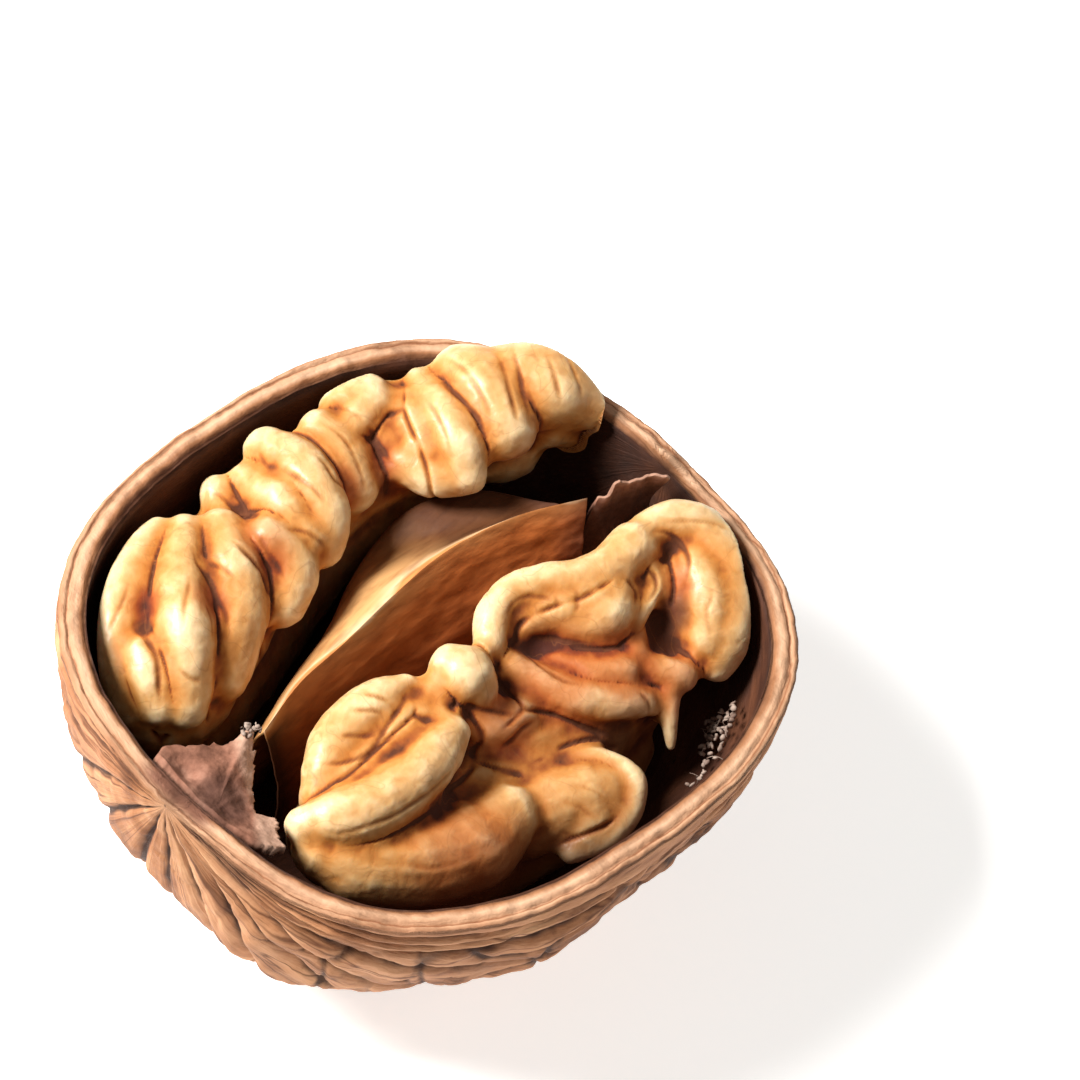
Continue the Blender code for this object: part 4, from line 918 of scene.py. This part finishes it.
RIGHT_VEINS = (
    (1.0, ((-3.5, -2.0, -0.5), (-4.2, -2.4, -0.8), (-5.1, -2.7, -1.2), (-6.1, -3.1, -1.5),
           (-7.2, -3.4, -1.5), (-8.3, -3.3, -1.6), (-9.5, -2.7, -1.4), (-10.2, -1.9, -1.7))),
    (0.75, ((-6.9, -1.2, -0.5), (-6.2, -1.8, -0.4), (-5.5, -2.3, -0.7))),
    (0.75, ((-8.3, -1.9, -0.7), (-7.4, -2.5, -0.9), (-6.5, -2.9, -1.2))),
    (0.65, ((-5.8, -0.8, -0.4), (-5.3, -1.5, -0.3), (-4.9, -2.1, -0.4))),
    (0.8, ((-12.7, -5.2, -1.8), (-11.9, -6.1, -1.6), (-10.8, -6.7, -1.3), (-9.2, -7.2, -1.2),
           (-7.2, -7.3, -1.1), (-5.4, -7.0, -1.2), (-4.0, -6.2, -1.3))),
    (0.9, ((-1.5, -4.0, -1.1), (-0.7, -4.7, -1.6), (0.3, -5.4, -2.1), (1.1, -5.9, -2.5))),
    (0.5, ((1.7, -3.0, -0.7), (1.9, -3.4, -1.6), (1.3, -4.2, -1.9), (0.5, -4.9, -1.7))),
    (0.5, ((3.5, -2.0, -0.2), (4.4, -1.7, 0.1), (5.3, -1.9, 0.3), (6.1, -2.4, 0.1),
           (6.4, -2.9, -0.4))),
    (0.5, ((7.5, -3.1, 0.7), (7.4, -3.5, 0.0), (6.8, -4.0, -0.1))),
    (0.4, ((6.6, -2.7, 0.2), (6.4, -3.1, -0.3), (6.0, -3.3, -0.6))),
    (0.7, ((9.9, -4.2, 0.9), (10.3, -4.7, 0.5), (10.3, -5.1, 0.0), (9.7, -5.6, 0.0))),
    (0.9, ((11.7, -4.4, 0.4), (11.9, -4.9, 0.1), (11.5, -5.5, -0.1), (10.7, -5.7, -0.4))),
    (0.8, ((13.1, -3.1, 1.3), (14.0, -3.7, 0.9), (14.3, -4.6, 0.4), (13.9, -5.7, 0.2),
           (13.1, -6.4, -0.5))),
    (0.5, ((13.9, -3.1, 1.4), (15.2, -4.0, 1.4), (16.3, -4.9, 1.2), (16.7, -5.8, 0.8))),
    (0.8, ((4.5, -2.6, -1.3), (5.5, -3.5, -1.7), (6.3, -4.8, -1.4), (7.4, -5.7, -1.6))),
    (0.8, ((4.0, -3.3, -1.6), (3.9, -4.9, -1.3), (4.2, -6.2, -1.4), (5.0, -7.1, -1.7))),
    (0.8, ((-0.5, -6.6, -3.4), (0.3, -6.6, -3.2), (1.1, -6.5, -2.9), (2.2, -6.6, -2.9))),
    (0.6, ((7.3, -9.0, -2.0), (7.5, -9.5, -2.6), (7.4, -9.8, -3.4))),
    (0.35, ((0.0, -10.7, -3.8), (0.7, -11.7, -4.0), (1.2, -12.6, -4.7))),
    (0.35, ((1.1, -10.5, -3.5), (1.7, -11.4, -3.6), (2.3, -12.4, -4.3))),
    (0.3, ((-0.9, -11.0, -4.7), (-0.4, -11.7, -5.2), (-0.2, -12.7, -5.3))),
    (0.4, ((13.7, -7.5, 0.2), (13.0, -8.1, -0.7), (12.4, -9.1, -1.5))),
    (0.35, ((-10.0, -8.8, -2.9), (-8.8, -9.9, -3.3), (-7.1, -10.5, -3.5))),
)
RIGHT_RUDDY = ((4.4, -5.4, -2.4, 3.6), (7.6, -7.4, -2.4, 3.4), (0.4, -5.6, -3.0, 2.6),
               (13.4, -6.0, -1.6, 2.2), (-6.4, -10.0, -6.8, 5.6), (10.0, -9.6, -3.6, 2.6))
# Places (x, y, z, radius) where the skin is painted dark as shade
RIGHT_SHADE_PLACES = ((5.8, -8.9, -5.6, 2.4), (12.2, -6.6, -1.8, 1.5), (3.4, -3.6, -2.4, 1.2))
right_data = kernel_data("walnut_kernel_right", RIGHT_RIDGES, RIGHT_VEINS, RIGHT_FILL,
                         RIGHT_RUDDY, RIGHT_SHADE_PLACES)
right_piece = finish_piece("walnut_kernel_right", right_data, ["kernel_right_lobe"],
                           kernel_paint)


# Partition: the thin woody wall that grows between the lobes, folded like the bow of a boat.
# It stands on the floor of the shell along its whole length.
PARTITION_RAILS = (
    ((-9.2, 3.4, -11.0), (-5.2, 4.6, -11.2), (-1.4, 5.4, -10.4), (3.0, 7.8, -6.8),
     (6.6, 8.4, -4.5), (10.3, 7.0, -3.9), (13.1, 3.9, -4.2)),
    ((-9.4, 2.8, -6.0), (-5.8, 4.2, -5.8), (-1.8, 5.4, -5.2), (2.6, 7.0, -4.6),
     (6.6, 5.6, -3.4), (9.9, 4.0, -2.6), (12.9, 2.2, -2.0)),
    ((-9.8, 1.8, -3.2), (-6.4, 2.8, -2.9), (-2.9, 3.2, -2.7), (1.4, 3.7, -2.1),
     (5.2, 3.8, -1.5), (9.3, 2.9, -0.8), (13.0, 1.3, -0.4)),
    ((-9.4, 1.0, -5.6), (-6.0, 1.4, -5.6), (-2.4, 1.7, -5.2), (1.8, 2.2, -4.4),
     (5.6, 2.3, -3.6), (9.3, 1.7, -2.8), (12.6, 0.7, -2.0)),
    ((-9.0, 0.4, -9.0), (-5.6, 0.5, -9.0), (-2.0, 0.6, -8.6), (2.0, 0.6, -7.6),
     (5.8, 0.6, -6.6), (9.3, 0.4, -5.6), (12.2, 0.0, -4.6)),
)
LEFT_FOOT = ((-9.0, 3.6), (-5.2, 4.8), (-1.4, 5.6), (3.0, 6.6), (6.6, 6.8), (10.2, 5.2),
             (13.2, 2.8))
RIGHT_FOOT = ((-8.8, 0.6), (-5.6, 0.7), (-2.0, 0.8), (2.0, 0.8), (5.8, 0.8), (9.6, 0.7),
              (12.8, 0.5))
FOOT_GAP = 0.75
PARTITION_THICKNESS = 0.8


def on_floor(x, y):
    """Point a small gap above the floor of the cavity at a place in the plan."""
    plan = (abs(x) / CAVITY_HALF_LENGTH) ** PLAN_POWER + (abs(y) / CAVITY_HALF_WIDTH) ** PLAN_POWER
    down = (1.0 - plan ** (DEPTH_POWER / PLAN_POWER)) ** (1.0 / DEPTH_POWER)
    return (x, y, FOOT_GAP - CAVITY_DEPTH * down)


def sheet_data(name, rows, thickness, offset, values, share):
    """A sheet through rows of points, given a share of the thickness at each, with numbers
    kept on its points."""
    sheet = bmesh.new()
    layers = [sheet.verts.layers.float.new(key) for key in values]
    grid = []
    for r, row in enumerate(rows):
        line = []
        for c, (x, y, z) in enumerate(row):
            made = sheet.verts.new((x * MM, y * MM, (z + RIM_HEIGHT) * MM))
            for layer, table in zip(layers, values.values()):
                made[layer] = table[r][c]
            line.append(made)
        grid.append(line)
    for upper, lower in zip(grid, grid[1:]):
        for index in range(len(upper) - 1):
            sheet.faces.new((upper[index], lower[index], lower[index + 1], upper[index + 1]))
    flat = bpy.data.meshes.new(name)
    sheet.to_mesh(flat)
    sheet.free()
    holder = bpy.data.objects.new(name, flat)
    group = holder.vertex_groups.new(name="share")
    for index, part in enumerate(np.asarray(share).ravel()):
        group.add([index], float(part), "REPLACE")
    thick = holder.modifiers.new("thick", "SOLIDIFY")
    thick.thickness = thickness * MM
    thick.offset = offset
    thick.vertex_group = "share"
    edge = holder.modifiers.new("edge", "BEVEL")
    edge.width = 0.08 * MM
    edge.segments = 2
    edge.limit_method = "ANGLE"
    edge.angle_limit = math.radians(50)
    return evaluated_copy(holder)


lines = [[on_floor(x, y) for x, y in LEFT_FOOT], *PARTITION_RAILS,
         [on_floor(x, y) for x, y in RIGHT_FOOT]]
lengthwise = np.array([smooth_path(line, 22) for line in lines])
left_side = np.array([smooth_path(column, 14) for column in lengthwise[:4].transpose(1, 0, 2)])
right_side = np.array([smooth_path(column, 14) for column in lengthwise[3:].transpose(1, 0, 2)])
sheet_rows = np.concatenate([left_side, right_side[:, 1:]], axis=1).transpose(1, 0, 2)
across = np.repeat(np.linspace(0.0, 1.0, len(sheet_rows))[:, None], sheet_rows.shape[1], axis=1)
along = np.repeat(np.linspace(0.0, 1.0, sheet_rows.shape[1])[None], len(sheet_rows), axis=0)
flat_rows = sheet_rows.reshape(-1, 3)
waves = 0.14 * grain_noise(flat_rows * np.array([0.35, 1.0, 1.0]), 0.8, 3)
waves = waves + 0.05 * grain_noise(flat_rows * np.array([0.25, 1.0, 1.0]), 3.0, 3)
crest_calm = smooth_step(0.0, 0.16, np.abs(across.ravel() - 0.5))
flat_rows = flat_rows + np.outer(waves * crest_calm, np.array([0.0, -0.5, 0.6]))
sheet_rows = flat_rows.reshape(sheet_rows.shape)
crest = sheet_rows[len(sheet_rows) // 2]
from_crest = np.linalg.norm(sheet_rows - crest[None], axis=2)
from_ends = np.minimum(along, 1.0 - along) * 24.0
thin = np.clip(0.12 + 0.42 * np.minimum(from_crest, from_ends), 0.0, 1.0)
partition_data = sheet_data("walnut_partition", sheet_rows, PARTITION_THICKNESS, -1.0,
                            {"across": across, "along": along}, thin)
partition_paint, tree, shader = paint("partition_wood")
spot = node(tree, "TexCoord").outputs["Object"]
stretched = node(tree, "Mapping", Vector=spot, Scale=(0.3, 1.0, 1.0)).outputs["Vector"]
cloud = node(tree, "TexNoise", Vector=stretched, Scale=320.0, Detail=4.0).outputs["Fac"]
fibre = node(tree, "TexNoise", Vector=stretched, Scale=1700.0, Detail=6.0).outputs["Fac"]
across_value = node(tree, "Attribute", {"attribute_name": "across"}).outputs["Fac"]
along_value = node(tree, "Attribute", {"attribute_name": "along"}).outputs["Fac"]
drift = node(tree, "MapRange", Value=cloud, From_Min=0.3, From_Max=0.7, To_Min=-0.05, To_Max=0.05)
place = node(tree, "Math", {"operation": "ADD"}, _0=across_value, _1=drift.outputs[0])
# Colour across the wall: dark at the left foot, pale on the left face and the thin crest, red brown on
# the right face. Partly the wood's own colour, partly painted light: the left face painted lit, the
# right face and the feet painted in shade.
wood = ramp(tree, place.outputs[0], ((0.05, (0.08, 0.028, 0.011)), (0.20, (0.24, 0.095, 0.036)),
                                     (0.34, (0.46, 0.200, 0.066)), (0.455, (0.62, 0.330, 0.125)),
                                     (0.492, (0.80, 0.520, 0.290)), (0.512, (0.66, 0.270, 0.085)),
                                     (0.60, (0.64, 0.180, 0.040)), (0.80, (0.42, 0.100, 0.022))))
# Painted shade: the left face darkens towards the far end.
left_part = node(tree, "MapRange", Value=across_value, From_Min=0.43, From_Max=0.487, To_Min=1.0,
                 To_Max=0.0).outputs["Result"]
far_part = node(tree, "MapRange", Value=along_value, From_Min=0.50, From_Max=0.68,
                To_Max=0.94).outputs["Result"]
far_left_shade = node(tree, "Math", {"operation": "MULTIPLY"}, _0=left_part, _1=far_part)
wood = node(tree, "MixRGB", Fac=far_left_shade.outputs[0], Color1=wood,
            Color2=(0.085, 0.027, 0.009, 1.0)).outputs["Color"]
# Painted shade: the right face near the stem end is painted almost black.
foot_part = node(tree, "MapRange", Value=across_value, From_Min=0.512, From_Max=0.56).outputs["Result"]
near_part = node(tree, "MapRange", Value=along_value, From_Min=0.02, From_Max=0.13, To_Min=0.92,
                 To_Max=0.0).outputs["Result"]
near_right_shade = node(tree, "Math", {"operation": "MULTIPLY"}, _0=foot_part, _1=near_part)
wood = node(tree, "MixRGB", Fac=near_right_shade.outputs[0], Color1=wood,
            Color2=(0.030, 0.010, 0.004, 1.0)).outputs["Color"]
tip_part = node(tree, "MapRange", Value=along_value, From_Min=0.90, From_Max=1.0,
                To_Max=0.55).outputs["Result"]
wood = node(tree, "MixRGB", Fac=tip_part, Color1=wood,
            Color2=(0.26, 0.115, 0.075, 1.0)).outputs["Color"]
streak = ramp(tree, fibre, ((0.3, (0.55, 0.46, 0.40)), (0.55, (1.0, 1.0, 1.0))))
wood = node(tree, "MixRGB", {"blend_type": "MULTIPLY"}, Fac=0.7, Color1=wood, Color2=streak)
tree.links.new(wood.outputs["Color"], shader.inputs["Base Color"])
rough = node(tree, "MapRange", Value=fibre, To_Min=0.5, To_Max=0.75)
tree.links.new(rough.outputs["Result"], shader.inputs["Roughness"])
shader.inputs["Specular IOR Level"].default_value = 0.25
bumpy = node(tree, "Bump", Strength=0.4, Distance=0.00015, Height=fibre)
tree.links.new(bumpy.outputs["Normal"], shader.inputs["Normal"])
partition_piece = finish_piece("walnut_partition", partition_data, ["partition"],
                               partition_paint)


# Papery remains at the stem end: a torn, crumpled plate of dry husk that bridges the corner
# between the shell's rim and the start of the partition.
STEM_FLAP = ((-16.9, 2.8, -0.3), (-16.0, 3.0, -0.6), (-13.9, 2.0, -1.0), (-12.6, 1.5, -1.2),
             (-11.4, 1.5, -1.1), (-12.2, 0.3, -1.5), (-13.5, -1.0, -1.7), (-14.4, -2.4, -1.8),
             (-14.0, -3.2, -1.7), (-14.3, -4.0, -1.5), (-15.2, -5.0, -1.4), (-16.1, -4.3, -0.9),
             (-16.8, -2.6, -0.6), (-17.0, -1.0, -0.4), (-17.0, 1.2, -0.3))
FLAP_HUB = (-16.1, -1.1, -0.9)
FLAP_THICKNESS = 0.6
FLAP_RINGS = 26

outline = smooth_path(STEM_FLAP + STEM_FLAP[:1], 12)
ragged = np.array([noise.fractal(Vector(point) * 2.2, 0.7, 2.2, 4) for point in outline[:-1]])
ragged = ragged * smooth_step(-16.6, -15.6, outline[:-1, 0])
hub = np.array(FLAP_HUB)
rim_points = outline[:-1] + (outline[:-1] - hub) * (0.10 * ragged[:, None])
rim_points = np.vstack([rim_points, rim_points[:1]])
flap_rows = []
for ring in range(FLAP_RINGS + 1):
    part = 0.02 + 0.98 * ring / FLAP_RINGS
    row = hub * (1 - part) + rim_points * part
    crumple = 0.34 * grain_noise(row, 0.55, 2) + 0.06 * grain_noise(row * (1.0, 2.2, 1.0), 1.1, 3)
    row[:, 2] += crumple - 0.1
    flap_rows.append(row)


def disc_data(name, rows, thickness):
    """A closed plate through rings of points, given a thickness."""
    plate = bmesh.new()
    grid = [[plate.verts.new((x * MM, y * MM, (z + RIM_HEIGHT) * MM)) for x, y, z in row[:-1]]
            for row in rows]
    count = len(grid[0])
    plate.faces.new(grid[0])
    for small, large in zip(grid, grid[1:]):
        for index in range(count):
            after = (index + 1) % count
            plate.faces.new((small[index], small[after], large[after], large[index]))
    bmesh.ops.recalc_face_normals(plate, faces=plate.faces)
    flat = bpy.data.meshes.new(name)
    plate.to_mesh(flat)
    plate.free()
    holder = bpy.data.objects.new(name, flat)
    thick = holder.modifiers.new("thick", "SOLIDIFY")
    thick.thickness = thickness * MM
    thick.offset = -1.0
    return evaluated_copy(holder)


husk_paint, tree, shader = paint("dry_husk")
spot = node(tree, "TexCoord").outputs["Object"]
cloud = node(tree, "TexNoise", Vector=spot, Scale=420.0, Detail=6.0, Roughness=0.65).outputs["Fac"]
fibre = node(tree, "TexNoise", Vector=spot, Scale=2400.0, Detail=5.0).outputs["Fac"]
husk = ramp(tree, cloud, ((0.28, (0.15, 0.060, 0.035)), (0.45, (0.28, 0.120, 0.072)),
                          (0.58, (0.38, 0.180, 0.115)), (0.75, (0.50, 0.280, 0.190))))
dusk_value = node(tree, "Attribute", {"attribute_name": "dusk"}).outputs["Fac"]
dusky = node(tree, "MapRange", Value=dusk_value, To_Max=0.85).outputs["Result"]
pale = node(tree, "MapRange", Value=dusk_value, From_Max=-1.0, To_Max=0.8).outputs["Result"]
husk = node(tree, "MixRGB", Fac=dusky, Color1=husk, Color2=(0.075, 0.030, 0.020, 1.0))
husk = node(tree, "MixRGB", Fac=pale, Color1=husk.outputs["Color"],
            Color2=(0.62, 0.400, 0.280, 1.0)).outputs["Color"]
fleck = ramp(tree, fibre, ((0.3, (0.55, 0.5, 0.48)), (0.6, (1.0, 1.0, 1.0))))
husk = node(tree, "MixRGB", {"blend_type": "MULTIPLY"}, Fac=0.7, Color1=husk, Color2=fleck)
tree.links.new(husk.outputs["Color"], shader.inputs["Base Color"])
shader.inputs["Roughness"].default_value = 0.82
shader.inputs["Specular IOR Level"].default_value = 0.25
bumpy = node(tree, "Bump", Strength=0.5, Distance=0.00015, Height=fibre)
tree.links.new(bumpy.outputs["Normal"], shader.inputs["Normal"])
flap_data = disc_data("walnut_stem_husk", flap_rows, FLAP_THICKNESS)
flap_points = get_points(flap_data)
beside = np.hypot(flap_points[:, 0] + 15.8, flap_points[:, 1] + 1.2)
edge_side = flap_points[:, 0] - 0.62 * flap_points[:, 1] + 13.15
set_values(flap_data, "dusk", 0.9 * smooth_step(2.3, 0.9, beside)
           - 0.8 * smooth_step(-0.8, 0.2, edge_side))
flap_piece = finish_piece("walnut_stem_husk", flap_data, ["stem_husk"],
                          husk_paint)


# Torn papery sheet at the far end: it stands between the tip of the partition and the rim,
# with a pointed top.
FAR_SHEET_FOOT = ((12.9, 0.2, -6.4), (14.2, -0.6, -5.6), (15.4, -0.8, -4.4), (16.4, -0.6, -3.0))
FAR_SHEET_TOP = ((13.4, 0.9, -0.6), (14.6, 0.4, 0.5), (15.7, -0.2, 1.3), (16.6, -1.1, 1.0))
SHEET_THICKNESS = 0.5

low, high = smooth_path(FAR_SHEET_FOOT, 16), smooth_path(FAR_SHEET_TOP, 16)
torn = np.array([noise.noise(Vector(point) * 0.9) + 0.35 * noise.noise(Vector(point) * 3.1)
                 for point in high])
high = high + (high - low) * (0.16 * torn[:, None])
far_rows = []
for step in range(25):
    part = step / 24
    row = low * (1 - part) + high * part
    row[:, 1] += 0.5 * math.sin(math.pi * part) + 0.20 * grain_noise(row * (1.6, 1.0, 0.4), 0.7, 2)
    far_rows.append(row)
upward_part = np.repeat(np.linspace(1.0, 0.0, 25)[:, None], len(low), axis=1)
# Painted shade: the sheet is painted dark where it stands in the cavity; its torn top edge is paler.
far_data = sheet_data("walnut_far_husk", far_rows[::-1], SHEET_THICKNESS, 0.0,
                      {"dusk": 0.85 - 1.25 * upward_part ** 9}, 1.0 - 0.7 * upward_part ** 4)
far_piece = finish_piece("walnut_far_husk", far_data, ["far_husk"], husk_paint)


# Crumbs and fibres: flakes of husk and skin that fell on the wall of the cavity beside the
# right lobe, and a pale torn tuft at the corner of the stem husk. They lie there loose.
CRUMB_X = (8.2, 12.8)
CRUMB_Z = (-7.0, -3.4)
CRUMB_LIFT = 0.955
TUFT_CENTRE = (-11.75, 1.25, -0.75)
TUFT_SIDE = 0.85
CRUMB_VALUES = {"Flakes each m2": 2.2e6, "Fibres each m2": 0.5e6, "Seed": 7,
                "Flake size": 0.00024, "Fibre length": 0.00040}

holder_points, holder_faces, plenty = [], [], []
for x in np.linspace(*CRUMB_X, 9):
    for z in np.linspace(*CRUMB_Z, 7):
        level = (1.0 - (abs(z) / CAVITY_DEPTH) ** DEPTH_POWER) ** (PLAN_POWER / DEPTH_POWER)
        across_part = max(level - (x / CAVITY_HALF_LENGTH) ** PLAN_POWER, 0.0)
        y = -CAVITY_HALF_WIDTH * across_part ** (1.0 / PLAN_POWER)
        holder_points.append((x * CRUMB_LIFT * MM, y * CRUMB_LIFT * MM, (z + RIM_HEIGHT) * MM))
        plenty.append(max(0.0, 0.9 + 4.0 * noise.noise(Vector((x * 0.8, z * 0.9, 4.3)))))
for row in range(8):
    for column in range(6):
        corner = row * 7 + column
        holder_faces.append((corner, corner + 7, corner + 8, corner + 1))
first = len(holder_points)
for x, y, z in ((-0.5, -0.5, -0.4), (0.5, -0.5, -0.1), (0.5, 0.5, 0.3), (-0.5, 0.5, 0.0)):
    place = np.array(TUFT_CENTRE) + TUFT_SIDE * np.array([x, y, z])
    holder_points.append((place[0] * MM, place[1] * MM, (place[2] + RIM_HEIGHT) * MM))
    plenty.append(7.0)
holder_faces.append((first, first + 1, first + 2, first + 3))
holder_data = bpy.data.meshes.new("crumb_places")
holder_data.from_pydata(holder_points, [], holder_faces)
set_values(holder_data, "plenty", plenty)

crumb_paint, tree, shader = paint("pale_crumbs")
spot = node(tree, "TexCoord").outputs["Object"]
cloud = node(tree, "TexNoise", Vector=spot, Scale=1500.0, Detail=3.0).outputs["Fac"]
crumb_tan = ramp(tree, cloud, ((0.35, (0.16, 0.095, 0.068)), (0.65, (0.40, 0.300, 0.235))))
tree.links.new(crumb_tan, shader.inputs["Base Color"])
shader.inputs["Roughness"].default_value = 0.85

grown = bpy.data.node_groups.new("crumbs", "GeometryNodeTree")
grown.interface.new_socket("Geometry", in_out="INPUT", socket_type="NodeSocketGeometry")
for label in CRUMB_VALUES:
    kind = "NodeSocketInt" if label == "Seed" else "NodeSocketFloat"
    grown.interface.new_socket(label, in_out="INPUT", socket_type=kind)
grown.interface.new_socket("Geometry", in_out="OUTPUT", socket_type="NodeSocketGeometry")
given = grown.nodes.new("NodeGroupInput").outputs
taken = grown.nodes.new("NodeGroupOutput").inputs


def grow_node(kind, settings=None, **values):
    """A Geometry Nodes node with its properties set and its inputs set or linked."""
    made = grown.nodes.new(kind)
    for key, value in (settings or {}).items():
        setattr(made, key, value)
    for key, value in values.items():
        name = int(key[1:]) if key[1:].isdigit() else key.replace("_", " ")
        if isinstance(value, bpy.types.NodeSocket):
            grown.links.new(value, made.inputs[name])
        else:
            made.inputs[name].default_value = value
    return made


def scattered(density, shape, size, seed):
    """Copies of a shape spread over the places, each turned and sized by chance."""
    share = grow_node("GeometryNodeInputNamedAttribute", {"data_type": "FLOAT"}, Name="plenty")
    count = grow_node("ShaderNodeMath", {"operation": "MULTIPLY"}, _0=density,
                      _1=share.outputs["Attribute"])
    spots = grow_node("GeometryNodeDistributePointsOnFaces", Mesh=given["Geometry"],
                      Density=count.outputs[0], Seed=seed)
    turn = grow_node("FunctionNodeRandomValue", {"data_type": "FLOAT_VECTOR"},
                     _1=(6.28, 6.28, 6.28), Seed=seed)
    vary = grow_node("FunctionNodeRandomValue", {"data_type": "FLOAT_VECTOR"},
                     _0=(0.5, 0.35, 0.2), _1=(1.3, 0.9, 0.6), Seed=seed)
    scale = grow_node("ShaderNodeVectorMath", {"operation": "SCALE"}, _0=vary.outputs[0], Scale=size)
    return grow_node("GeometryNodeInstanceOnPoints", Points=spots.outputs["Points"], Instance=shape,
                     Rotation=turn.outputs[0], Scale=scale.outputs[0]).outputs["Instances"]


flake = grow_node("GeometryNodeMeshIcoSphere", Radius=1.0, Subdivisions=1)
strand_path = grow_node("GeometryNodeCurveQuadraticBezier", Resolution=6, Start=(-1.0, 0.0, 0.0),
                        Middle=(0.0, 1.1, 0.5), End=(1.0, 0.0, 0.0))
strand_ring = grow_node("GeometryNodeCurvePrimitiveCircle", Resolution=4, Radius=0.10)
strand = grow_node("GeometryNodeCurveToMesh", {}, Curve=strand_path.outputs["Curve"],
                   Profile_Curve=strand_ring.outputs["Curve"], Fill_Caps=True)
later = grow_node("ShaderNodeMath", {"operation": "ADD"}, _0=given["Seed"], _1=11.0)
flakes = scattered(given["Flakes each m2"], flake.outputs["Mesh"], given["Flake size"],
                   given["Seed"])
fibres = scattered(given["Fibres each m2"], strand.outputs["Mesh"], given["Fibre length"],
                   later.outputs[0])
both = grow_node("GeometryNodeJoinGeometry")
grown.links.new(flakes, both.inputs[0])
grown.links.new(fibres, both.inputs[0])
real = grow_node("GeometryNodeRealizeInstances", Geometry=both.outputs[0])
painted = grow_node("GeometryNodeSetMaterial", Geometry=real.outputs[0], Material=crumb_paint)
grown.links.new(painted.outputs[0], taken[0])
crumb_holder = bpy.data.objects.new("crumb_places", holder_data)
growth = crumb_holder.modifiers.new("crumbs", "NODES")
growth.node_group = grown
for socket in grown.interface.items_tree:
    if socket.in_out == "INPUT" and socket.name in CRUMB_VALUES:
        growth[socket.identifier] = CRUMB_VALUES[socket.name]
crumb_data = evaluated_copy(crumb_holder)
crumb_piece = finish_piece("walnut_crumbs", crumb_data, [], crumb_paint)
